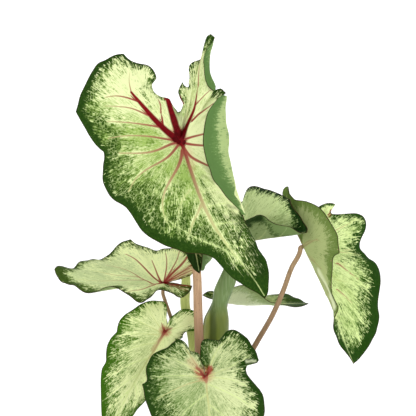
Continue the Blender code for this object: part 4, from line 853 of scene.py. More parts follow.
class Wiring:
    """Adds nodes to a tree, each with its settings and with what goes into its sockets."""

    def __init__(self, tree):
        self.tree = tree

    def add(self, kind, sockets=None, **settings):
        node = self.tree.nodes.new(kind)
        for key, value in settings.items():
            setattr(node, key, value)
        for key, value in (sockets or {}).items():
            self.fill(node.inputs[key], value)
        return node

    def fill(self, socket, value):
        if isinstance(value, bpy.types.NodeSocket):
            self.tree.links.new(value, socket)
        elif socket.type == "RGBA" and len(value) == 3:
            socket.default_value = (*value, 1.0)
        else:
            socket.default_value = value

    def work_out(self, operation, *values):
        return self.add("ShaderNodeMath", dict(enumerate(values)), operation=operation).outputs[0]

    def times(self, a, b):
        return self.work_out("MULTIPLY", a, b)

    def minus(self, a, b):
        return self.work_out("SUBTRACT", a, b)

    def plus(self, value, *parts):
        """The value with parts added to it one after another, each given with how much of it."""
        for part, share in parts:
            value = self.work_out("MULTIPLY_ADD", part, share, value)
        return value

    def centred(self, value):
        return self.minus(value, 0.5)

    def rise(self, value, low, high, bottom=0.0, top=1.0):
        """From bottom to top as the value goes from low to high, smoothly."""
        sockets = {"Value": value, "From Min": low, "From Max": high, "To Min": bottom, "To Max": top}
        return self.add("ShaderNodeMapRange", sockets, interpolation_type="SMOOTHSTEP").outputs[0]

    def fall(self, value, low, high, top=1.0):
        """From top to 0 as the value goes from low to high, smoothly."""
        return self.rise(value, low, high, top, 0.0)

    def clamped(self, value):
        return self.add("ShaderNodeClamp", {0: value}).outputs[0]

    def blend(self, share, a, b):
        return self.add("ShaderNodeMix", {0: share, 2: a, 3: b}, data_type="FLOAT").outputs[0]

    def mix(self, share, a, b):
        return self.add("ShaderNodeMix", {0: share, 6: a, 7: b}, data_type="RGBA").outputs[2]

    def layers(self, under, *layers):
        """The colour with others laid over it in order, each given with how much it covers."""
        for share, tint in layers:
            under = self.mix(share, under, tint)
        return under

    def field(self, name):
        """One of the piece's own values."""
        return self.add("ShaderNodeAttribute", attribute_name=name).outputs["Fac"]

    def axis(self, vector, index):
        return self.add("ShaderNodeSeparateXYZ", {0: vector}).outputs[index]

    def noise(self, vector, scale, detail=2.0, roughness=0.5, distortion=0.0):
        """A noise with one scale, or with three that stretch it."""
        if isinstance(scale, tuple):
            vector = self.add("ShaderNodeMapping", {"Vector": vector, "Scale": scale}).outputs[0]
            scale = 1.0
        sockets = {"Vector": vector, "Scale": scale, "Detail": detail}
        sockets.update({"Roughness": roughness, "Distortion": distortion})
        return self.add("ShaderNodeTexNoise", sockets).outputs["Fac"]

    def pushed(self, noise):
        """A way to push a point, from the colour of a noise."""
        sockets = {0: noise, 1: (0.5, 0.5, 0.5)}
        return self.add("ShaderNodeVectorMath", sockets, operation="SUBTRACT").outputs[0]

    def warped(self, vector, scale, by):
        """The places pushed about by a noise."""
        noise = self.add("ShaderNodeTexNoise", {"Vector": vector, "Scale": scale, "Detail": 2.0})
        sockets = {0: self.pushed(noise.outputs["Color"]), 1: (by, by, by), 2: vector}
        return self.add("ShaderNodeVectorMath", sockets, operation="MULTIPLY_ADD").outputs[0]

    def cells(self, vector, scale):
        """How far the nearest border between cells is, and a random value of the cell."""
        sockets = {"Vector": vector, "Scale": scale}
        border = self.add("ShaderNodeTexVoronoi", sockets, feature="DISTANCE_TO_EDGE").outputs["Distance"]
        own = self.add("ShaderNodeTexVoronoi", sockets).outputs["Color"]
        return border, self.add("ShaderNodeSeparateColor", {0: own}).outputs[0]


class Finish(Wiring):
    """A new material, wired to its shader."""

    def __init__(self, name, roughness=0.5, specular=0.5):
        self.material = bpy.data.materials.new(name)
        self.material.use_nodes = True
        super().__init__(self.material.node_tree)
        self.shader = self.tree.nodes["Principled BSDF"]
        self.shader.inputs["Roughness"].default_value = roughness
        self.shader.inputs["Specular IOR Level"].default_value = specular
        coordinates = self.add("ShaderNodeTexCoord")
        self.place = coordinates.outputs["Object"]
        self.own = coordinates.outputs["UV"]

    def paint(self, value):
        self.fill(self.shader.inputs["Base Color"], value)

    def bump(self, height, depth, strength=1.0):
        node = self.add("ShaderNodeBump", {"Height": height, "Distance": depth, "Strength": strength})
        self.fill(self.shader.inputs["Normal"], node.outputs[0])


def seen(x, y, forward):
    """The place of a point seen at x, y, in mm."""
    across = (x - MIDDLE_STEP) * STEP
    rise = (MIDDLE_STEP - y) * STEP
    sin, cos = math.sin(EYE_RISE), math.cos(EYE_RISE)
    way = (EYE_DISTANCE * cos - forward) / (EYE_DISTANCE * cos + rise * sin)
    height = MIDDLE_Z + EYE_DISTANCE * sin + (rise * cos - EYE_DISTANCE * sin) * way
    return np.array((MIDDLE_X + across * way, -forward, height))


def sight_of(places):
    """Where places are seen from the front, the other way round from seen."""
    sin, cos = math.sin(EYE_RISE), math.cos(EYE_RISE)
    across = places[..., 0] - MIDDLE_X
    forward = -places[..., 1]
    high = places[..., 2] - MIDDLE_Z
    scale = EYE_DISTANCE / (EYE_DISTANCE - forward * cos - high * sin) / STEP
    up = high * cos - forward * sin
    return np.stack((MIDDLE_STEP + across * scale, MIDDLE_STEP - up * scale), axis=-1)


def unit(v):
    return v / np.linalg.norm(v, axis=-1, keepdims=True)


def between(a, b, leaving, arriving, u):
    """A smooth way from a to b, with how it leaves and arrives, at u from 0 to 1."""
    return (
        a * (1 + 2 * u) * (1 - u) ** 2
        + b * u * u * (3 - 2 * u)
        + leaving * u * (1 - u) ** 2
        - arriving * u * u * (1 - u)
    )


def rays_of(blade):
    """For each point of the edge, the five points of the ray from the join to it."""
    join = np.array(blade["join"], float)
    rays = []
    for index, end in enumerate(blade["edge"]):
        end = np.array(end, float)
        points = [join + (end - join) * share for share in (0.25, 0.5, 0.75)]
        if index in blade.get("rolls", {}):
            turn = np.array(blade["rolls"][index], float)
            points = [join + (turn - join) * share for share in (0.36, 0.72)] + [turn]
        elif index in blade.get("bends", {}):
            for point, bend in zip(points, blade["bends"][index]):
                point[: len(bend)] = bend
        for point, share in zip(points, (0.6, 1.0, 0.75)):
            point[2] += blade["bulge"] * share
        rays.append([seen(*point) for point in [join, *points, end]])
    return fanned_out(np.array(rays))


def in_order(angles, gap):
    """The angles made to grow from each to the next by the gap or more, moved as little as it takes."""
    groups = []
    for angle in angles - gap * np.arange(len(angles)):
        groups.append([angle, 1])
        while len(groups) > 1 and groups[-2][0] > groups[-1][0]:
            value, size = groups.pop()
            before = groups[-1]
            before[0] = (before[0] * before[1] + value * size) / (before[1] + size)
            before[1] += size
    return np.concatenate([np.full(size, value) for value, size in groups]) + gap * np.arange(len(angles))


def fanned_out(rays):
    """The rays turned about the join where they would cross one another on their way out."""
    join = rays[0, 0]
    axis, _ = ways_of(join, along(rays, (0.25, 0.5)))
    right = unit(np.cross(axis, (0.3, 0.2, 1.0)))
    up = np.cross(axis, right)
    for k in (1, 2, 3):
        out = rays[:, k] - join
        x, y = out @ right, out @ up
        angles = np.unwrap(np.arctan2(y, x))
        growing = 1.0 if angles[-1] > angles[0] else -1.0
        if abs(angles[-1] - angles[0]) < math.pi:
            continue
        turn = in_order(angles * growing, RAY_GAP) * growing - angles
        sin, cos = np.sin(turn), np.cos(turn)
        rays[:, k] = join + (out @ axis)[:, None] * axis
        rays[:, k] += (x * cos - y * sin)[:, None] * right + (x * sin + y * cos)[:, None] * up
    return rays


def carried_round(rows, steps, counts, corners):
    """The rows carried smoothly round the closed edge, with counts[i] rows from row i on."""
    slopes = (np.roll(rows, -1, axis=0) - rows) / steps[:, None]
    before = np.roll(slopes, 1, axis=0)
    last = np.roll(steps, 1)[:, None]
    knots = (before * steps[:, None] + slopes * last) / (steps[:, None] + last)
    leaving, arriving = knots.copy(), knots.copy()
    for corner in corners:
        leaving[corner] = slopes[corner]
        arriving[corner] = before[corner]
    found = []
    for i, count in enumerate(counts):
        n = (i + 1) % len(rows)
        u = (np.arange(count) / count)[:, None]
        found.append(between(rows[i], rows[n], leaving[i] * steps[i], arriving[n] * steps[i], u))
    return np.concatenate(found)


def along(rays, levels):
    """Points at each level, 0 at the join and 1 at the edge, on every ray as a smooth curve."""
    slopes = np.empty_like(rays)
    slopes[:, 1:-1] = (rays[:, 2:] - rays[:, :-2]) / 2
    slopes[:, 0] = 2 * (rays[:, 1] - rays[:, 0]) - slopes[:, 1]
    slopes[:, -1] = 2 * (rays[:, -1] - rays[:, -2]) - slopes[:, -2]
    found = []
    for level in levels:
        index = min(int(level * 4), 3)
        near, far = index, index + 1
        found.append(between(rays[:, near], rays[:, far], slopes[:, near], slopes[:, far], level * 4 - index))
    return np.array(found).transpose(1, 0, 2)


def ways_of(middle, rings):
    """The way that the upper face looks at the join and at each point of the rings."""
    whole = np.concatenate([np.broadcast_to(middle, (len(rings), 1, 3)), rings], axis=1)
    round_way = np.roll(rings, -1, axis=0) - np.roll(rings, 1, axis=0)
    out_way = np.empty_like(rings)
    out_way[:, :-1] = whole[:, 2:] - whole[:, :-2]
    out_way[:, -1] = whole[:, -1] - whole[:, -2]
    ways = unit(np.cross(out_way, round_way))
    return unit(ways[:, 0].sum(axis=0)), ways


class Sheet:
    """A blade as a fine grid, columns round its edge and levels from the join out, with its markings."""

    def __init__(self, name):
        blade = BLADES[name]
        step, self.deep = GRIDS[name]
        rays = rays_of(blade)
        steps = np.linalg.norm(np.roll(rays[:, 4], -1, axis=0) - rays[:, 4], axis=1)
        counts = np.maximum(1, np.round(steps / step)).astype(int)
        self.starts = np.concatenate([[0], np.cumsum(counts)])
        self.wide = int(self.starts[-1])
        columns = [carried_round(rays[:, k], steps, counts, ()) for k in range(4)]
        columns.append(carried_round(rays[:, 4], steps, counts, blade["corners"]))
        levels = np.arange(1, self.deep + 1) / self.deep
        self.rings = along(np.stack(columns, axis=1), levels)
        self.middle = rays[0, 0]
        self.iron_out(levels)
        rolled = np.array([[float(i in blade.get("rolls", {}))] for i in range(len(rays))])
        self.rolled = np.clip(carried_round(rolled, steps, counts, range(len(rays)))[:, 0], 0, 1)
        self.to_edge = self.edge_distance()
        self.band, self.reach, self.lush = self.border(BORDERS[name])
        # Scars, blots and painted shadows
        self.scars_and_shadows = self.blotted(SCARS_AND_SHADOWS.get(name, ()))
        self.flushes = self.blotted(FLUSHES.get(name, ()))
        # Pale patches where an edge curls, partly painted light
        self.pales_and_light = self.blotted(PALES_AND_LIGHT.get(name, ()))
        self.trace(SEEN_VEINS.get(name, ()), RAY_VEINS.get(name, ()))

    def iron_out(self, levels):
        """Takes out creases that are finer than the stalk is thick, mostly towards the join."""
        self.join_way, ways = ways_of(self.middle, self.rings)
        spacing = np.linalg.norm(np.roll(self.rings, -1, axis=0) - self.rings, axis=2).mean(axis=0)
        shift = softened(self.rings, spacing, CREASE) - self.rings
        ways = unit(softened(ways, spacing, CREASE))
        upright = (shift * ways).sum(axis=2, keepdims=True) * ways
        calm = np.clip((0.8 - levels) / 0.3, 0, 1)[:, None]
        free = np.clip((0.35 - levels) / 0.2, 0, 1)[:, None]
        self.rings = self.rings + calm * upright + free * (shift - upright)
        self.join_way, ways = ways_of(self.middle, self.rings)
        ways = unit(softened(ways, spacing, CREASE * 0.6))
        self.from_join = np.linalg.norm(self.rings - self.middle, axis=2)
        own = np.clip(self.from_join / 5.0, 0, 1)[..., None]
        self.ways = unit(ways * own + self.join_way * (1 - own))

    def edge_distance(self):
        """How far each point lies from the edge; on a rolled side, the way out along its ray."""
        border = self.rings[:, -1]
        nearest = np.full(self.rings.shape[:2], np.inf)
        for turn in range(-self.wide // EDGE_PART, self.wide // EDGE_PART + 1):
            gap = np.linalg.norm(self.rings - np.roll(border, turn, axis=0)[:, None], axis=2)
            nearest = np.minimum(nearest, gap)
        lengths = np.linalg.norm(np.diff(self.rings, axis=1), axis=2)
        out = np.zeros_like(nearest)
        out[:, :-1] = np.cumsum(lengths[:, ::-1], axis=1)[:, ::-1]
        self.out = out
        share = self.rolled[:, None]
        return nearest * (1 - share) + out * share

    def border(self, rows):
        """Width of the solid band, reach of the net and greenness of the middle, for each column."""
        marks = [self.starts[row[0]] for row in rows] + [self.wide]
        found = []
        for values in list(zip(*rows, rows[0]))[1:]:
            found.append(np.interp(np.arange(self.wide), marks, values))
        return found

    def on_blade(self, points):
        """The places on the blade that are seen at the points."""
        flat = np.arange(self.deep)[None, :] < self.deep * (1 - ROLLED_SHARE * self.rolled[:, None])
        spots = sight_of(self.rings)[flat]
        places = self.rings[flat]
        behind = FRONT_WEIGHT * places[:, 1]
        found = []
        for point in points:
            gaps = ((spots - point) ** 2).sum(axis=1)
            best = np.argpartition(gaps + behind, PLACED_BY)[:PLACED_BY]
            weights = 1 / (gaps[best] + 0.02)
            found.append((places[best] * weights[:, None]).sum(axis=0) / weights.sum())
        return np.array(found)

    def on_rays(self, points):
        """The places at shares of rays, given as edge point and share."""
        marks = smooth_line([(self.starts[point], share * self.deep - 1) for point, share in points], 8)
        column = np.round(marks[:, 0]).astype(int) % self.wide
        level = np.clip(np.round(marks[:, 1]).astype(int), 0, self.deep - 1)
        return self.rings[column, level]

    def blotted(self, rows):
        """How strongly each point is blotted."""
        found = np.zeros(self.rings.shape[:2])
        for width, strength, points in rows:
            line = self.on_blade(smooth_line(points, 4))
            gap = np.full(found.shape, np.inf)
            for a, b in zip(line[:-1], line[1:]):
                span = b - a
                share = np.clip((self.rings - a) @ span / max(span @ span, 1e-9), 0, 1)
                gap = np.minimum(gap, np.linalg.norm(self.rings - a - share[..., None] * span, axis=2))
            found = np.maximum(found, strength * np.clip(1.6 - gap / (width * STEP / 2), 0, 1))
        return found

    def trace(self, seen_veins, ray_veins):
        """Fields of the veins: distance, signed side, half width and tone of the nearest one."""
        shape = self.rings.shape[:2]
        self.near = np.full(shape, NO_VEIN)
        self.side = np.full(shape, NO_VEIN)
        self.half = np.zeros(shape)
        self.tone = np.ones(shape)
        best = np.full(shape, NO_VEIN)
        lines = [(row, self.on_blade(smooth_line(row[4], 5))) for row in seen_veins]
        lines += [(row, self.on_rays(row[4])) for row in ray_veins]
        for (wide, thin, tone_start, tone_end, _), line in lines:
            line = eased(line)
            halves = np.linspace(wide, thin, len(line)) * STEP / 2
            tones = np.linspace(tone_start, tone_end, len(line))
            for k in range(len(line) - 1):
                self.add_stretch(best, line[k : k + 2], halves[k : k + 2], tones[k : k + 2])

    def add_stretch(self, best, ends, halves, tones):
        """Takes over the points that lie nearer to this stretch of a vein than to any before."""
        a, b = ends
        span = b - a
        square = span @ span
        if square < 1e-9:
            return
        close = np.abs(self.rings - (a + b) / 2).max(axis=2) < VEIN_REACH
        offset = self.rings[close] - a
        share = np.clip(offset @ span / square, 0, 1)
        offset = offset - share[:, None] * span
        gap = np.linalg.norm(offset, axis=1)
        half = halves[0] + (halves[1] - halves[0]) * share
        side = np.sign((np.cross(span, offset) * self.ways[close]).sum(axis=1) + 1e-12)
        nearer = gap - half < best[close]
        spots = tuple(part[nearer] for part in np.nonzero(close))
        best[spots] = (gap - half)[nearer]
        self.near[spots] = gap[nearer]
        self.side[spots] = (gap * side)[nearer]
        self.half[spots] = half[nearer]
        self.tone[spots] = (tones[0] + (tones[1] - tones[0]) * share)[nearer]

    def faces(self):
        """Faces of both sides and of the edge, with the column and level of each of their corners."""
        i, j = (part.ravel() for part in np.mgrid[: self.wide, : self.deep - 1])
        k, join, last = np.arange(self.wide), -1, self.deep - 1
        # Corners by column, level and side: upper face, lower face, edge, and the fans about the join
        groups = (
            ((i, j, 0), (i, j + 1, 0), (i + 1, j + 1, 0), (i + 1, j, 0)),
            ((i + 1, j, 1), (i + 1, j + 1, 1), (i, j + 1, 1), (i, j, 1)),
            ((k, last, 0), (k, last, 1), (k + 1, last, 1), (k + 1, last, 0)),
            ((k, join, 0), (k, 0, 0), (k + 1, 0, 0)),
            ((k, join, 1), (k + 1, 0, 1), (k, 0, 1)),
        )
        faces, columns, levels = [], [], []
        for corners in groups:
            corners = np.array([np.broadcast_arrays(*corner) for corner in corners])
            column, level, side = corners.transpose(1, 2, 0)
            own = np.where(level == join, 0, 1 + column % self.wide * self.deep + level)
            faces += (own + side * (1 + self.wide * self.deep)).tolist()
            columns.append(column.ravel())
            levels.append(np.maximum(level, 0).ravel())
        return faces, np.concatenate(columns), np.concatenate(levels)


def softened(values, spacing, reach):
    """Values round each ring with what is finer than the reach taken out; spacing is that of its points."""
    wide = len(values)
    width = np.minimum(reach / spacing, wide / 8)
    damp = np.exp(-2 * (math.pi * np.fft.rfftfreq(wide)[:, None] * width) ** 2)
    return np.fft.irfft(np.fft.rfft(values, axis=0) * damp[..., None], n=wide, axis=0)


def joined(points, leaving, arriving, per):
    """The points with per pieces between each two, given how the curve leaves one and arrives at the next."""
    u = (np.arange(per) / per)[:, None]
    found = [between(*ends, u) for ends in zip(points[:-1], points[1:], leaving, arriving)]
    return np.concatenate([*found, points[-1:]])


def smooth_line(points, per):
    """A smooth open curve through the points, with per pieces between each two."""
    points = np.asarray(points, float)
    slopes = np.gradient(points, axis=0)
    return joined(points, slopes[:-1], slopes[1:], per)


def eased(line):
    """The line with the unevenness between its points taken out."""
    line = line.copy()
    for _ in range(3):
        line[1:-1] = (line[:-2] + 2 * line[1:-1] + line[2:]) / 4
    return line


def new_piece(name, points, faces, material=None, edges=()):
    """A piece in the scene, points in mm."""
    mesh = bpy.data.meshes.new(name)
    mesh.from_pydata((np.asarray(points) * MM).tolist(), edges, faces)
    mesh.update()
    if material:
        mesh.materials.append(material)
    mesh.shade_smooth()
    obj = bpy.data.objects.new(name, mesh)
    bpy.context.scene.collection.objects.link(obj)
    return obj


def take_place(obj, slot, *nodes):
    """The piece rides on the plant and stands for its solids."""
    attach(obj, "root")
    if nodes:
        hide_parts(*nodes)
    return obj


def keep_field(mesh, name, values):
    field = mesh.attributes.new(name, "FLOAT", "POINT")
    field.data.foreach_set("value", np.asarray(values, np.float32).ravel())


def build_blade(name, leaf):
    """One blade with its veins pressed into the upper face and standing out below."""
    sheet = Sheet(name)
    half = leaf.thickness / MM / 2
    rings, ways = sheet.rings, sheet.ways
    own = np.clip(sheet.from_join / 10.0, 0.2, 1)
    swell = leaf.quilt / MM * (1 - np.exp(-((sheet.near / 5.0) ** 2)))
    swell *= np.clip(sheet.to_edge / 6.0, 0, 1) * own
    run = np.concatenate([[0], np.cumsum(np.linalg.norm(np.diff(rings[:, -1], axis=0), axis=1))])[:, None]
    ripple = np.sin(run / 3.1 + 1.7 * np.sin(run / 11.0)) * np.exp(-sheet.to_edge / 4.0) * leaf.wave / MM
    middle = rings + ways * (swell + ripple)[..., None]
    hollow = np.exp(-((sheet.near / np.maximum(sheet.half * 1.1, 0.45)) ** 2))
    hollow *= np.clip(sheet.half / 1.6, 0.15, 1.0)
    thin = 0.55 + 0.45 * np.clip(sheet.to_edge / 2.0, 0, 1)
    top = half * thin - leaf.groove / MM * (hollow * own + 0.6 * sheet.scars_and_shadows)
    below = half * thin + leaf.ridge / MM * hollow * own
    points = [sheet.middle + sheet.join_way * half * 0.5]
    points.extend((middle + ways * top[..., None]).reshape(-1, 3))
    points.append(sheet.middle - sheet.join_way * half * 1.5)
    points.extend((middle - ways * below[..., None]).reshape(-1, 3))
    faces, columns, levels = sheet.faces()
    obj = new_piece(name + "_leaf", points, faces, leaf_finish(name, leaf))
    keep_markings(obj.data, name, sheet)
    net = obj.data.uv_layers.new(name="net")
    whole = np.append(run[:, 0], run[-1, 0] + np.linalg.norm(rings[0, -1] - rings[-1, -1]))
    inward = np.concatenate([sheet.out, sheet.out[:1]])
    uv = np.stack((whole[columns], inward[columns, levels]), axis=-1) * MM * NET_SCALE
    net.data.foreach_set("uv", uv.astype(np.float32).ravel())
    return take_place(obj, "blade", name + "_blade")


def keep_markings(mesh, name, sheet):
    """The values that the leaf's finish reads, each with its value at the join, the same on both faces."""
    fields = {
        "edge": (sheet.to_edge, 20.0),
        "band": (sheet.band[:, None], 4.0),
        "reach": (sheet.reach[:, None], 10.0),
        "lush": (sheet.lush[:, None], 0.5),
        "near": (sheet.near, 0.0),
        "side": (sheet.side, 0.0),
        "half": (sheet.half, 2.0),
        "tone": (sheet.tone, 0.0),
        # Scars, blots and painted shadows
        "scar_and_shadow": (sheet.scars_and_shadows, 0.0),
        "flush": (sheet.flushes, 1.0 if name in FLUSHES else 0.3),
        # Pale patches, partly painted light
        "pale": (sheet.pales_and_light, 0.0),
    }
    for title, (values, at_join) in fields.items():
        one_side = np.concatenate([[at_join], np.broadcast_to(values, sheet.near.shape).ravel()])
        keep_field(mesh, title, np.concatenate([one_side, one_side]))
    keep_field(mesh, "under", np.repeat((0.0, 1.0), 1 + sheet.wide * sheet.deep))


def vein_tones(skin, leaf, tone):
    """Deep red through pink and tan to pale green."""
    spots = (0.0, 0.06, 0.2, 0.52, 0.95)
    tints = (leaf.vein_core, leaf.vein_red, leaf.vein_pink, leaf.vein_tan, leaf.vein_pale)
    node = skin.add("ShaderNodeValToRGB", {0: tone})
    elements = node.color_ramp.elements
    while len(elements) < len(spots):
        elements.new(0.5)
    for element, spot, tint in zip(elements, spots, tints):
        element.position = spot
        element.color = (*tint, 1.0)
    return node.outputs[0]


def leaf_finish(name, leaf):
    """A pale middle, green cells that close up to a dark band, red to pale veins, and a duller lower face."""
    *greens, sparse = GREENS[name]
    pale, lush, cells, band_green = (shade(*tint) for tint in greens)
    below_pale, below_green, below_band = (shade(*tint) for tint in UNDERSIDES[name])
    skin = Finish(name + "_leaf", roughness=0.5, specular=0.06)
    edge, half, tone, how_lush = (skin.field(title) for title in ("edge", "half", "tone", "lush"))
    from_vein = skin.minus(skin.field("near"), half)
    inner = skin.minus(edge, skin.field("band"))

    # Strokes along the rays, grain and patches, and the fine threads between the cells of the net
    strokes = skin.centred(skin.noise(skin.own, STROKES, 2.0, 0.6, 0.5))
    streaks = skin.centred(skin.noise(skin.own, STREAKS, 2.0, 0.6, 0.8))
    fine = skin.centred(skin.noise(skin.own, FINE_STROKES, 1.0, 0.5, 0.5))
    stroke = skin.plus(strokes, (fine, 0.6))
    grain = skin.centred(skin.noise(skin.place, GRAIN, 2.0, 0.6))
    patches = skin.centred(skin.noise(skin.place, PATCHES, 2.0, 0.6))
    broad = skin.centred(skin.noise(skin.place, BROAD, 1.0, 0.5))
    border, cell = skin.cells(skin.warped(skin.place, CELLS, CELL_PUSH), CELLS)
    thread = skin.fall(skin.plus(border, (grain, 0.2)), 0.02, 0.16)
    thread = skin.times(thread, skin.rise(patches, -0.18, 0.14, 0.3, 1.0))

    # Where the band is solid, how far the net covers what lies inside it, and how green each spot is
    solid = skin.fall(skin.plus(inner, (streaks, 3.0), (stroke, 12.0)), -0.8, 1.0)
    past = skin.work_out("DIVIDE", inner, skin.work_out("MAXIMUM", skin.field("reach"), 0.1))
    cover = skin.fall(past, -0.1, 1.15, 0.86)
    halo = skin.fall(from_vein, 0.2, 2.4)
    green = skin.plus(
        skin.minus(cover, 0.26),
        (how_lush, 0.26 + sparse * 1.3),
        (patches, skin.plus(0.4, (how_lush, sparse * 7.0))),
        (stroke, -1.9),
        (streaks, -0.6),
        (skin.centred(cell), 0.35),
        (grain, 0.6),
        (halo, -0.3),
    )

    # Upper face: its middle, the light and the dark of the net, the band, flushes, and scars with painted
    # shadows
    middle = skin.plus(
        how_lush, (broad, 1.4), (stroke, -2.2), (streaks, -0.8), (thread, -0.3), (grain, 0.8), (halo, -0.2)
    )
    light = skin.times(skin.rise(green, 0.2, 0.68), skin.plus(1.0, (thread, -0.6)))
    deep = skin.mix(skin.rise(cover, 0.1, 0.7, 0.3, 0.9), cells, band_green)
    dark = skin.times(skin.rise(green, 0.52, 0.92), skin.plus(1.0, (thread, -0.7)))
    edge_green = skin.mix(skin.rise(grain, -0.1, 0.25, 0.0, 0.14), band_green, cells)
    flush = skin.times(skin.field("flush"), skin.rise(strokes, -0.3, 0.2, 1.0, 0.75))
    # Scars, blots and painted shadows where another blade or a rolled edge shades this one
    scar_and_shadow = skin.times(skin.field("scar_and_shadow"), 0.9)
    face = skin.layers(
        skin.mix(skin.clamped(middle), pale, lush),
        (light, cells),
        (dark, deep),
        (solid, edge_green),
        (skin.rise(flush, 0.0, 1.0), leaf.flush),
        (scar_and_shadow, leaf.scar_and_shadow_green),
    )

    # Veins: soft sides, and broken up where they are palest
    softness = skin.plus(0.2, (half, 0.22))
    inside, outside = skin.minus(half, softness), skin.work_out("ADD", half, softness)
    vein = skin.fall(skin.work_out("ABSOLUTE", skin.field("side")), inside, outside)
    vein = skin.times(vein, skin.fall(from_vein, 0.6, 1.2))
    broken = skin.rise(skin.plus(grain, (strokes, 2.0)), -0.3, 0.3, 0.2, 0.85)
    plain = skin.rise(tone, 0.25, 0.6, 1.0, 0.8)
    vein = skin.times(vein, skin.blend(skin.rise(tone, 0.75, 0.95), plain, broken))
    reds = vein_tones(skin, leaf, skin.plus(tone, (grain, 0.1)))
    face = skin.mix(vein, face, reds)

    # Lower face: the same marks, duller, with scars and painted shadows in a darker green of their own
    mottle = skin.plus(
        skin.times(streaks, -1.6), (stroke, -2.6), (patches, 1.6), (grain, 0.9), (thread, -0.35), (cover, 1.9)
    )
    below = skin.layers(
        skin.mix(skin.rise(mottle, 0.0, 1.1), below_pale, below_green),
        (skin.times(solid, 0.9), below_band),
        (skin.times(vein, 0.65), skin.mix(0.5, reds, below_pale)),
        (scar_and_shadow, leaf.scar_and_shadow_green_below),
    )
    # Over both faces: pale curls, partly painted light, and the thin dark edge line
    face = skin.layers(
        face,
        (skin.field("under"), below),
        (skin.times(skin.field("pale"), 0.9), leaf.curl_and_light),
        (skin.fall(edge, 0.2, 0.8, 0.9), leaf.edge_line),
    )
    skin.paint(face)
    skin.bump(skin.plus(grain, (thread, -0.3)), 0.12 * MM, 0.5)
    return skin.material


def modified(obj, tree, values):
    """The object's mesh as the node tree makes it; values are the tree's inputs by name."""
    modifier = obj.modifiers.new(tree.name, "NODES")
    modifier.node_group = tree
    for item in tree.interface.items_tree:
        if item.item_type == "SOCKET" and item.name in values:
            modifier[item.identifier] = values[item.name]
    depsgraph = bpy.context.evaluated_depsgraph_get()
    mesh = bpy.data.meshes.new_from_object(obj.evaluated_get(depsgraph))
    obj.modifiers.remove(modifier)
    obj.data = mesh
    return obj


def new_tree(name, inputs):
    """A geometry node tree with its geometry in and out and the named inputs."""
    tree = bpy.data.node_groups.new(name, "GeometryNodeTree")
    tree.interface.new_socket("Geometry", in_out="INPUT", socket_type="NodeSocketGeometry")
    for title, kind in inputs:
        tree.interface.new_socket(title, in_out="INPUT", socket_type=kind)
    tree.interface.new_socket("Geometry", in_out="OUTPUT", socket_type="NodeSocketGeometry")
    wiring = Wiring(tree)
    return wiring, wiring.add("NodeGroupInput").outputs


def close_tree(wiring, geometry, material):
    """Ends the tree in real faces with their material."""
    real = wiring.add("GeometryNodeRealizeInstances", {"Geometry": geometry}).outputs[0]
    painted = wiring.add("GeometryNodeSetMaterial", {"Geometry": real, "Material": material}).outputs[0]
    wiring.add("NodeGroupOutput", {"Geometry": painted})
    return wiring.tree


def stalk_tree():
    """A round bar along a line, as thick as the line's own radius says."""
    inputs = (("Sides", "NodeSocketInt"), ("Material", "NodeSocketMaterial"))
    wiring, given = new_tree("Stalk along its line", inputs)
    curve = wiring.add("GeometryNodeMeshToCurve", {"Mesh": given["Geometry"]}).outputs[0]
    sockets = {"Resolution": given["Sides"], "Radius": 1.0}
    ring = wiring.add("GeometryNodeCurvePrimitiveCircle", sockets).outputs[0]
    radius = wiring.add("GeometryNodeInputNamedAttribute", {"Name": "radius"}, data_type="FLOAT")
    sockets = {"Curve": curve, "Profile Curve": ring, "Scale": radius.outputs[0], "Fill Caps": True}
    bar = wiring.add("GeometryNodeCurveToMesh", sockets).outputs[0]
    smooth = wiring.add("GeometryNodeSetShadeSmooth", {0: bar}).outputs[0]
    return close_tree(wiring, smooth, given["Material"])


def scatter_tree(name):
    """Uneven crumbs strewn over the faces, half sunk in them."""
    inputs = (
        ("Density", "NodeSocketFloat"),
        ("Size", "NodeSocketFloat"),
        ("Flatness", "NodeSocketFloat"),
        ("Seed", "NodeSocketInt"),
        ("Material", "NodeSocketMaterial"),
    )
    wiring, given = new_tree(name, inputs)
    size, seed = given["Size"], given["Seed"]
    sockets = {"Mesh": given["Geometry"], "Density": given["Density"], "Seed": seed}
    points = wiring.add("GeometryNodeDistributePointsOnFaces", sockets).outputs[0]
    ball = wiring.add("GeometryNodeMeshIcoSphere", {"Radius": 1.0, "Subdivisions": 1}).outputs[0]
    rough = wiring.add("ShaderNodeTexNoise", {"Scale": 1.3, "Detail": 1.0}, noise_dimensions="3D")
    sockets = {"Geometry": ball, "Offset": wiring.pushed(rough.outputs["Color"])}
    lump = wiring.add("GeometryNodeSetPosition", sockets).outputs[0]
    sockets = {2: wiring.times(size, CRUMB_LEAST), 3: size, "Seed": seed}
    wide = wiring.add("FunctionNodeRandomValue", sockets, data_type="FLOAT").outputs[1]
    sockets = {0: (-CRUMB_TILT, -CRUMB_TILT, 0.0), 1: (CRUMB_TILT, CRUMB_TILT, math.tau), "Seed": seed}
    turn = wiring.add("FunctionNodeRandomValue", sockets, data_type="FLOAT_VECTOR").outputs[0]
    high = wiring.times(wide, given["Flatness"])
    scale = wiring.add("ShaderNodeCombineXYZ", {0: wide, 1: wide, 2: high}).outputs[0]
    sockets = {"Points": points, "Instance": lump, "Rotation": turn, "Scale": scale}
    strewn = wiring.add("GeometryNodeInstanceOnPoints", sockets).outputs[0]
    return close_tree(wiring, strewn, given["Material"])


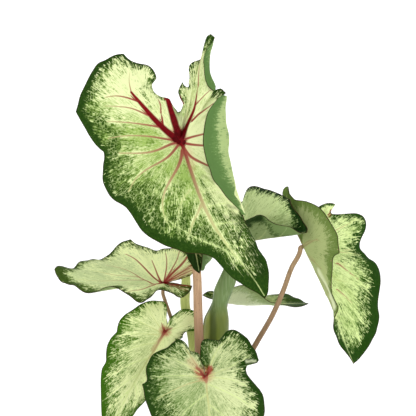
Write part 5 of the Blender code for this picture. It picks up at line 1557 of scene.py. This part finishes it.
def flower_tree():
    """Small flowers set close over the spadix, each standing out from it."""
    inputs = (("Size", "NodeSocketFloat"), ("Seed", "NodeSocketInt"), ("Material", "NodeSocketMaterial"))
    wiring, given = new_tree("Flowers of the spadix", inputs)
    core, size = given["Geometry"], given["Size"]
    sockets = {"Mesh": core, "Distance Min": size, "Density Max": FLORET_DENSITY, "Seed": given["Seed"]}
    points = wiring.add("GeometryNodeDistributePointsOnFaces", sockets, distribute_method="POISSON").outputs
    ball = wiring.add("GeometryNodeMeshIcoSphere", {"Radius": FLORET_RADIUS, "Subdivisions": 2}).outputs[0]
    scale = wiring.add("ShaderNodeCombineXYZ", {0: size, 1: size, 2: size}).outputs[0]
    sockets = {"Points": points[0], "Instance": ball, "Rotation": points["Rotation"], "Scale": scale}
    flowers = wiring.add("GeometryNodeInstanceOnPoints", sockets).outputs[0]
    both = wiring.add("GeometryNodeJoinGeometry", {0: flowers})
    wiring.fill(both.inputs[0], core)
    smooth = wiring.add("GeometryNodeSetShadeSmooth", {0: both.outputs[0]}).outputs[0]
    return close_tree(wiring, smooth, given["Material"])


def stalk_path(points, per):
    """A smooth curve through the points that sets out upright, with per pieces between each two."""
    points = np.array(points, float)
    steps = np.linalg.norm(np.diff(points, axis=0), axis=1)[:, None]
    slopes = np.diff(points, axis=0) / steps
    knots = np.empty_like(points)
    knots[1:-1] = (slopes[:-1] * steps[1:] + slopes[1:] * steps[:-1]) / (steps[1:] + steps[:-1])
    knots[0] = (0.0, 0.0, 1.0)
    knots[-1] = 2 * slopes[-1] - knots[-2]
    foot = (points[0, 0], points[0, 1], TUBER_TOP + FIT_GAP)
    return np.concatenate([[foot], joined(points, knots[:-1] * steps, knots[1:] * steps, per)])


def stalk_line(name, path, radii):
    """The stalk's line as a mesh of edges that carries its radius."""
    obj = new_piece(name, path, [], edges=[(i, i + 1) for i in range(len(path) - 1)])
    keep_field(obj.data, "radius", np.asarray(radii) * MM)
    return obj


def stalk_end(name, turn):
    """The last two points of a leaf's stalk, which meets its blade square on from below."""
    rays = rays_of(BLADES[name])
    join = rays[0, 0]
    way, _ = ways_of(join, along(rays, (0.25, 0.5, 0.75, 1.0)))
    return [join - way * turn, join - way * 0.3]


def spread(values, path):
    """The values, evenly spaced along the path, read at each of its points."""
    way = np.concatenate([[0], np.cumsum(np.linalg.norm(np.diff(path, axis=0), axis=1))])
    return np.interp(way / way[-1], np.linspace(0, 1, len(values)), values)


def stalk_finish(name, light, dark):
    """A smooth skin with fine upright streaks and small dark flecks, painted shade darkening it towards the
    foot.
    """
    low, high = STALK_SHADE_HEIGHTS[name]
    skin = Finish(name, roughness=0.5, specular=0.3)
    streaks = skin.noise(skin.place, (900.0, 900.0, 60.0), 3.0, 0.6)
    flecks = skin.noise(skin.place, (1500.0, 1500.0, 600.0), 1.0)
    broad = skin.noise(skin.place, (60.0, 60.0, 25.0), 2.0)
    tint = skin.layers(
        light,
        (skin.rise(streaks, 0.35, 0.75, 0.0, 0.55), dark),
        (skin.rise(broad, 0.4, 0.7, 0.0, 0.35), dark),
        # Painted shade: darker towards the foot, where the leaves shade the stalk
        (skin.fall(skin.axis(skin.place, 2), low * MM, high * MM, 0.85), dark),
        (skin.rise(flecks, 0.66, 0.74, 0.0, 0.7), shade_and_fleck_tint(dark)),
    )
    skin.paint(tint)
    skin.bump(streaks, 0.15 * MM, 0.4)
    return skin.material


def revolve(profile, sides):
    """A closed body from a profile of (radius, height), counter-clockwise; radius 0 stays one point."""
    points, faces, rows = [], [], []
    turns = np.arange(sides) * math.tau / sides
    for radius, height in profile:
        if radius == 0:
            rows.append([len(points)] * sides)
            points.append((0.0, 0.0, height))
            continue
        rows.append(list(range(len(points), len(points) + sides)))
        points.extend(zip(radius * np.cos(turns), radius * np.sin(turns), [height] * sides))
    for i, row in enumerate(rows):
        after = rows[(i + 1) % len(rows)]
        for k in range(sides):
            n = (k + 1) % sides
            face = list(dict.fromkeys((row[k], row[n], after[n], after[k])))
            if len(face) > 2:
                faces.append(face)
    return np.array(points), faces


def wall_radius(height):
    """The pot's outer radius below the rim."""
    share = height / (POT_HEIGHT - POT_RIM_HEIGHT)
    return POT_BASE_RADIUS + (POT_BODY_TOP_RADIUS - POT_BASE_RADIUS) * share


def inner_radius(height):
    return min(wall_radius(height), POT_RIM_RADIUS) - POT_WALL


def rounded(corners, per=6):
    """A profile's corners, given as (radius, height, rounding), each turned into an arc of its rounding."""
    corners = np.array(corners, float)
    found = []
    for before, here, after in zip(np.roll(corners, 1, 0), corners, np.roll(corners, -1, 0)):
        before, here, after, rounding = before[:2], here[:2], after[:2], here[2]
        if rounding == 0:
            found.append(here)
            continue
        start = here - unit(here - before) * rounding
        end = here + unit(after - here) * rounding
        for u in np.arange(per + 1) / per:
            found.append(start * (1 - u) ** 2 + here * 2 * u * (1 - u) + end * u * u)
    return found


def clay_finish(pot):
    """Fired clay: fine grit, a damp darker foot and body, and patches of lime below the rim."""
    skin = Finish("clay", roughness=0.88, specular=0.2)
    grit = skin.noise(skin.place, 1400.0, 3.0, 0.7)
    patches = skin.noise(skin.place, (28.0, 28.0, 18.0), 4.0, 0.65)
    rings = skin.noise(skin.place, (4.0, 4.0, 900.0), 2.0)
    damp = skin.plus(skin.axis(skin.place, 2), (patches, 0.03))
    lime = skin.times(skin.rise(patches, 0.52, 0.72), skin.rise(grit, 0.3, 0.6, 0.3, 0.75))
    tint = skin.layers(
        pot.clay,
        (skin.fall(damp, 0.02, 0.075, 0.65), pot.clay_dark),
        (skin.rise(grit, 0.35, 0.75, 0.0, 0.35), pot.clay_dark),
        (lime, pot.bloom),
    )
    skin.paint(tint)
    skin.bump(skin.work_out("ADD", grit, rings), 0.25 * MM, 0.5)
    return skin.material


def earth_finish(name, tint, lit):
    """Crumbly matter, with painted shade that darkens its hollows."""
    skin = Finish(name, roughness=0.95, specular=0.15)
    grit = skin.noise(skin.place, 700.0, 4.0, 0.7)
    fibre = skin.noise(skin.place, 160.0, 3.0, 0.6)
    # Painted shade: the tint darkened where the grit lies low
    face = skin.mix(skin.rise(grit, 0.3, 0.75), shade_and_fleck_tint(tint), tint)
    skin.paint(skin.mix(skin.rise(fibre, 0.5, 0.8, 0.0, 0.6), face, lit))
    skin.bump(grit, 0.5 * MM, 0.7)
    return skin.material


def lumps(x, y):
    """How far the soil's surface lies above its level."""
    found = 0.5 * np.sin(x * 0.31 + 1.3 * np.sin(y * 0.23))
    found += 0.5 * np.sin(y * 0.37 + 1.1 * np.sin(x * 0.29 + 2.0))
    found += 0.35 * np.sin(x * 1.1 + y * 0.7) * np.sin(y * 1.3 - x * 0.4)
    return found * 0.7 - 0.4


def spathe_foot():
    """Where the spathe stands on its stalk."""
    y, x = SPATHE[0][:2]
    return seen(x, y, SPATHE_FORWARD)


def spathe_rows():
    """The spathe's sheet as a fine grid: rows up its height, points round its turn."""
    share = np.arange(SPATHE_ROUND + 1) / SPATHE_ROUND - 0.5
    rows = []
    for y, x, radius, degrees in smooth_line(SPATHE, SPATHE_UP):
        angle = SPATHE_SEAM + share * math.radians(degrees) - math.pi / 2
        out = radius + SPATHE_SPIRAL * share * min(1.0, degrees / 360) ** 2
        ring = np.stack((out * np.cos(angle), out * np.sin(angle), 0 * angle), axis=-1)
        rows.append(seen(x, y, SPATHE_FORWARD) + ring)
    return np.array(rows)


def sheet_mesh(rows, half):
    """A thin closed sheet over a grid of points."""
    down, across = np.gradient(rows, axis=0), np.gradient(rows, axis=1)
    ways = unit(np.cross(across, down))
    high, wide = rows.shape[:2]
    points = np.concatenate([(rows + ways * half).reshape(-1, 3), (rows - ways * half).reshape(-1, 3)])
    size = high * wide
    a = (np.arange(high - 1)[:, None] * wide + np.arange(wide - 1)).ravel()
    quads = np.stack((a, a + 1, a + wide + 1, a + wide), axis=-1)
    border = list(range(wide)) + [i * wide + wide - 1 for i in range(1, high)]
    border += [(high - 1) * wide + j for j in range(wide - 2, -1, -1)]
    border += [i * wide for i in range(high - 2, 0, -1)]
    faces = quads.tolist() + (quads[:, ::-1] + size).tolist()
    for k, a in enumerate(border):
        b = border[(k + 1) % len(border)]
        faces.append((b, a, size + a, size + b))
    return points, faces


def spathe_finish(flower):
    """Olive tube, its lit side painted yellow and painted shade in its fold; grey-green limb with fine
    upright lines.
    """
    skin = Finish("spathe", roughness=0.45, specular=0.35)
    lines = skin.noise(skin.place, (700.0, 700.0, 22.0), 3.0, 0.6)
    broad = skin.noise(skin.place, (80.0, 80.0, 30.0), 2.0)
    throat = seen(*THROAT, SPATHE_FORWARD)[2] * MM
    limb = skin.rise(skin.axis(skin.place, 2), throat - 0.006, throat + 0.012)
    across = skin.plus(skin.axis(skin.place, 0), (skin.centred(broad), 0.006))
    # Band of painted shade where the tube folds over itself
    fold_shade = skin.times(skin.rise(across, *FOLD_START), skin.rise(across, *FOLD_END))
    tube = skin.layers(
        flower.tube,
        (skin.rise(broad, 0.45, 0.7, 0.0, 0.5), flower.tube_lit),
        (skin.times(fold_shade, 0.8), flower.fold_shade),
        # Painted highlight: the tube's lit side in yellow
        (skin.rise(across, *LIT_SIDE), flower.tube_lit),
    )
    open_part = skin.mix(skin.rise(lines, 0.4, 0.7, 0.0, 0.6), flower.limb, flower.limb_line)
    tint = skin.mix(limb, tube, open_part)
    skin.paint(skin.mix(skin.rise(broad, 0.35, 0.7, 0.0, 0.35), tint, flower.shadow))
    skin.bump(lines, 0.2 * MM, 0.5)
    return skin.material


class AddPot(bpy.types.Operator):
    """Adds the turned clay pot."""

    bl_idname = "caladium.add_pot"
    bl_label = "Pot"

    def execute(self, context):
        pot = context.scene.caladium.pot
        neck = POT_HEIGHT - POT_RIM_HEIGHT
        corners = [
            (0, 0, 0),
            (POT_BASE_RADIUS - 6, 0, 0),
            (POT_BASE_RADIUS - 0.2, 0, 1.8),
            *((wall_radius(z), z, 0) for z in np.linspace(8, neck - 6, 24)),
            (POT_BODY_TOP_RADIUS, neck, 0.8),
            (POT_RIM_RADIUS - 0.8, neck, 1.2),
            (POT_RIM_RADIUS, POT_HEIGHT, 2.2),
            (inner_radius(SOIL_TOP) + 1.2, POT_HEIGHT, 2.0),
            *((inner_radius(z), z, 0) for z in np.linspace(SOIL_TOP - 4, POT_FLOOR + 4, 12)),
            (inner_radius(POT_FLOOR), POT_FLOOR, 0),
            (0, POT_FLOOR, 0),
        ]
        points, faces = revolve(rounded(corners), pot.sides)
        away = np.hypot(points[:, 0], points[:, 1])
        turned = 0.06 * np.sin(points[:, 2] * 2.1) + 0.05 * np.sin(points[:, 2] * 0.7 + 1.0)
        turned *= (away > POT_BASE_RADIUS - 1) & (points[:, 2] > 3)
        points[:, :2] *= (1 + turned / np.maximum(away, 1))[:, None]
        take_place(new_piece("clay_pot", points, faces, clay_finish(pot)), "clay", "pot")
        return {"FINISHED"}


class AddSoil(bpy.types.Operator):
    """Adds the soil with its crumbs and white grains."""

    bl_idname = "caladium.add_soil"
    bl_label = "Soil"

    def execute(self, context):
        pot = context.scene.caladium.pot
        low, top = POT_FLOOR + FIT_GAP, inner_radius(SOIL_TOP) - FIT_GAP
        profile = [
            (0, low),
            (inner_radius(POT_FLOOR) - FIT_GAP, low),
            (top, SOIL_TOP - 4.5),
            (top - 0.4, SOIL_TOP - 1.5),
            *((radius, SOIL_TOP) for radius in np.linspace(top - 1.5, 0, 44)),
        ]
        points, faces = revolve(profile, SOIL_SIDES)
        high = points[:, 2] > SOIL_TOP - 0.1
        points[high, 2] += lumps(points[high, 0], points[high, 1])
        earth = earth_finish("earth", pot.earth, pot.earth_lit)
        take_place(new_piece("soil_body", points, faces, earth), "earth", "soil")
        surface = [face for face in faces if all(high[i] for i in face)]
        crumbs = earth_finish("crumbs", pot.crumb_tint, pot.crumb_lit)
        grains = earth_finish("grains", pot.grain_tint, pot.grain_lit)
        for name, density, size, flatness, material in (
            ("soil_crumbs", pot.crumbs, pot.crumb, 0.75, crumbs),
            ("soil_grains", pot.grains, pot.grain, 0.9, grains),
        ):
            patch = new_piece(name, points, surface)
            inputs = {"Density": density, "Size": size, "Flatness": flatness, "Seed": pot.seed}
            modified(patch, scatter_tree(name), {**inputs, "Material": material})
            take_place(patch, "earth")
        return {"FINISHED"}


class AddTuber(bpy.types.Operator):
    """Adds the ringed tuber under the soil."""

    bl_idname = "caladium.add_tuber"
    bl_label = "Tuber"

    def execute(self, context):
        pot = context.scene.caladium.pot
        low = TUBER_TOP - TUBER_HEIGHT
        corners = (
            (0, low),
            (TUBER_RADIUS * 0.55, low + 1.5),
            (TUBER_RADIUS * 0.9, low + TUBER_HEIGHT * 0.28),
            (TUBER_RADIUS, low + TUBER_HEIGHT * 0.55),
            (TUBER_RADIUS * 0.97, TUBER_TOP - 4),
            (TUBER_RADIUS * 0.88, TUBER_TOP),
            (0, TUBER_TOP),
        )
        profile = np.clip(smooth_line(corners, 8), (0, low), (math.inf, TUBER_TOP))
        points, faces = revolve(profile, TUBER_SIDES)
        turn = np.arctan2(points[:, 1], points[:, 0])
        away = np.hypot(points[:, 0], points[:, 1])
        rings = 0.35 * np.sin(points[:, 2] * 1.9 + np.sin(turn * 3))
        rings += 0.4 * np.sin(turn * 5 + points[:, 2] * 0.3)
        points[:, :2] *= (1 + (rings - 0.6) / np.maximum(away, 8))[:, None]
        bark = earth_finish("bark", pot.bark, pot.bark_lit)
        take_place(new_piece("ringed_tuber", points, faces, bark), "bark", "tuber")
        return {"FINISHED"}


class AddBlades(bpy.types.Operator):
    """Adds the eight blades, each over its CAD solid."""

    bl_idname = "caladium.add_blades"
    bl_label = "Blades"

    def execute(self, context):
        for name in BLADES:
            build_blade(name, context.scene.caladium.leaf)
        return {"FINISHED"}


class AddStalks(bpy.types.Operator):
    """Adds the leaf stalks and the flower's stalk."""

    bl_idname = "caladium.add_stalks"
    bl_label = "Stalks"

    def execute(self, context):
        stalks = context.scene.caladium.stalk
        tree = stalk_tree()
        tan = stalk_finish("stalk", stalks.tan, stalks.brown)
        thin = stalk_finish("thin_stalk", stalks.thin, stalks.thin_dark)
        sheathed = stalk_finish("sheathed_stalk", stalks.sheath_light, stalks.sheath_dark)
        skins = {"main": tan, "small": sheathed, "spathe": sheathed}
        slots = {"small": "sheathed_stalk", "spathe": "sheath"}
        for name, stalk in {**STALKS, "spathe": SPATHE_STALK}.items():
            foot_x, foot_forward = stalk["foot"]
            points = [(foot_x, -foot_forward, SOIL_TOP + 1.0)]
            points += [seen(*point) for point in stalk["passes"]]
            points += stalk_end(name, stalk["turn"]) if name in BLADES else [spathe_foot()]
            path = stalk_path(points, 10)
            line = stalk_line(name + "_stem", path, spread(stalk["radii"], path))
            modified(line, tree, {"Sides": stalks.sides, "Material": skins.get(name, thin)})
            take_place(line, slots.get(name, "stalk"), name + "_stalk")
        return {"FINISHED"}


class AddFlower(bpy.types.Operator):
    """Adds the spathe and the spadix with its flowers."""

    bl_idname = "caladium.add_flower"
    bl_label = "Flower"

    def execute(self, context):
        flower = context.scene.caladium.flower
        points, faces = sheet_mesh(spathe_rows(), flower.thickness / MM / 2)
        take_place(new_piece("spathe_sheet", points, faces, spathe_finish(flower)), "sheath", "spathe")
        heights, middles = zip(*(row[:2] for row in reversed(SPATHE)))
        core = smooth_line(SPADIX, 3)
        line = np.array([seen(np.interp(y, heights, middles), y, SPATHE_FORWARD) for y, _ in core])
        line[0, 2] = spathe_foot()[2] + FIT_GAP
        skin = Finish("spadix", roughness=0.55, specular=0.3)
        speck = skin.noise(skin.place, 900.0, 2.0)
        skin.paint(skin.mix(skin.rise(speck, 0.4, 0.7), flower.cream, flower.cream_dark))
        spadix = stalk_line("spadix_flowers", line, core[:, 1] - CORE_INSET)
        sides = context.scene.caladium.stalk.sides
        modified(spadix, stalk_tree(), {"Sides": sides, "Material": skin.material})
        inputs = {"Size": flower.floret, "Seed": flower.seed, "Material": skin.material}
        modified(spadix, flower_tree(), inputs)
        take_place(spadix, "spadix", "spadix")
        return {"FINISHED"}


def add_light(name, place, size, power, target):
    """A soft square light that looks at the target."""
    light = bpy.data.lights.new(name, "AREA")
    light.size = size
    light.energy = power
    lamp = bpy.data.objects.new(name, light)
    lamp.location = place
    away = np.array(place) - target
    flat = math.hypot(away[0], away[1])
    lamp.rotation_euler = (math.atan2(flat, away[2]), 0.0, math.atan2(away[0], -away[1]))
    bpy.context.scene.collection.objects.link(lamp)


class AddStage(bpy.types.Operator):
    """Adds the floor with its round backdrop, the lights and the camera."""

    bl_idname = "caladium.add_stage"
    bl_label = "Stage"

    def execute(self, context):
        stage = context.scene.caladium.stage
        profile = [(radius, 0.0) for radius in (0, 0.5, 1.2, stage.floor)]
        for turn in np.linspace(0.1, math.pi / 2, 12):
            out, up = BACKDROP_BEND * math.sin(turn), BACKDROP_BEND * (1 - math.cos(turn))
            profile.append((stage.floor + out, up))
        profile.append((stage.floor + BACKDROP_BEND, stage.wall))
        points, faces = revolve([(radius / MM, height / MM) for radius, height in profile], FLOOR_SIDES)
        # The last ring of faces, which would close the backdrop over the plant, is left out
        faces = faces[:-FLOOR_SIDES]
        white = Finish("studio_white", roughness=0.9, specular=0.1)
        white.paint(white.mix(white.noise(white.place, 1.5, 1.0), *FLOOR_WHITES))
        white.fill(white.shader.inputs["Emission Color"], (1.0, 1.0, 1.0))
        white.fill(white.shader.inputs["Emission Strength"], stage.glow)
        floor = new_piece("studio_floor", points, faces, white.material)
        middle = np.array((MIDDLE_X, 0.0, MIDDLE_Z)) * MM
        add_light("key_light", KEY_PLACE, KEY_SIZE, stage.key, middle)
        add_light("fill_light", FILL_PLACE, FILL_SIZE, stage.fill, middle)
        world = bpy.data.worlds.new("even_sky")
        world.use_nodes = True
        background = world.node_tree.nodes["Background"].inputs
        background["Color"].default_value = (1.0, 1.0, 1.0, 1.0)
        background["Strength"].default_value = stage.sky
        context.scene.world = world
        context.scene.view_settings.view_transform = "Standard"
        lens = bpy.data.cameras.new("photo_view")
        lens.sensor_width = SENSOR
        lens.lens = SENSOR * EYE_DISTANCE / (PICTURE_STEPS * STEP)
        camera = bpy.data.objects.new("photo_view", lens)
        way = np.array((0.0, -math.cos(EYE_RISE), math.sin(EYE_RISE)))
        camera.location = middle + way * EYE_DISTANCE * MM
        camera.rotation_euler = (math.pi / 2 - EYE_RISE, 0.0, 0.0)
        context.scene.collection.objects.link(camera)
        context.scene.camera = camera
        return {"FINISHED"}


class CaladiumPanel(bpy.types.Panel):
    """The plant's settings and its pieces."""

    bl_idname = "VIEW3D_PT_caladium"
    bl_label = "Caladium"
    bl_space_type = "VIEW_3D"
    bl_region_type = "UI"
    bl_category = "Caladium"

    def draw(self, context):
        for title in ("leaf", "stalk", "flower", "pot", "stage"):
            group = getattr(context.scene.caladium, title)
            box = self.layout.box()
            box.label(text=title.capitalize())
            for name in group.bl_rna.properties.keys():
                if name not in ("rna_type", "name"):
                    box.prop(group, name)
        for operator in OPERATORS:
            self.layout.operator(operator.bl_idname)


SETTINGS = (LeafSettings, StalkSettings, FlowerSettings, PotSettings, StageSettings, PlantSettings)
OPERATORS = (AddPot, AddSoil, AddTuber, AddBlades, AddStalks, AddFlower, AddStage)


def register():
    for part in (*SETTINGS, *OPERATORS, CaladiumPanel):
        bpy.utils.register_class(part)
    bpy.types.Scene.caladium = bpy.props.PointerProperty(type=PlantSettings)


def unregister():
    del bpy.types.Scene.caladium
    for part in reversed((*SETTINGS, *OPERATORS, CaladiumPanel)):
        bpy.utils.unregister_class(part)


def main():
    register()
    for operator in OPERATORS:
        group, name = operator.bl_idname.split(".")
        getattr(getattr(bpy.ops, group), name)()


if __name__ == "__main__":
    main()
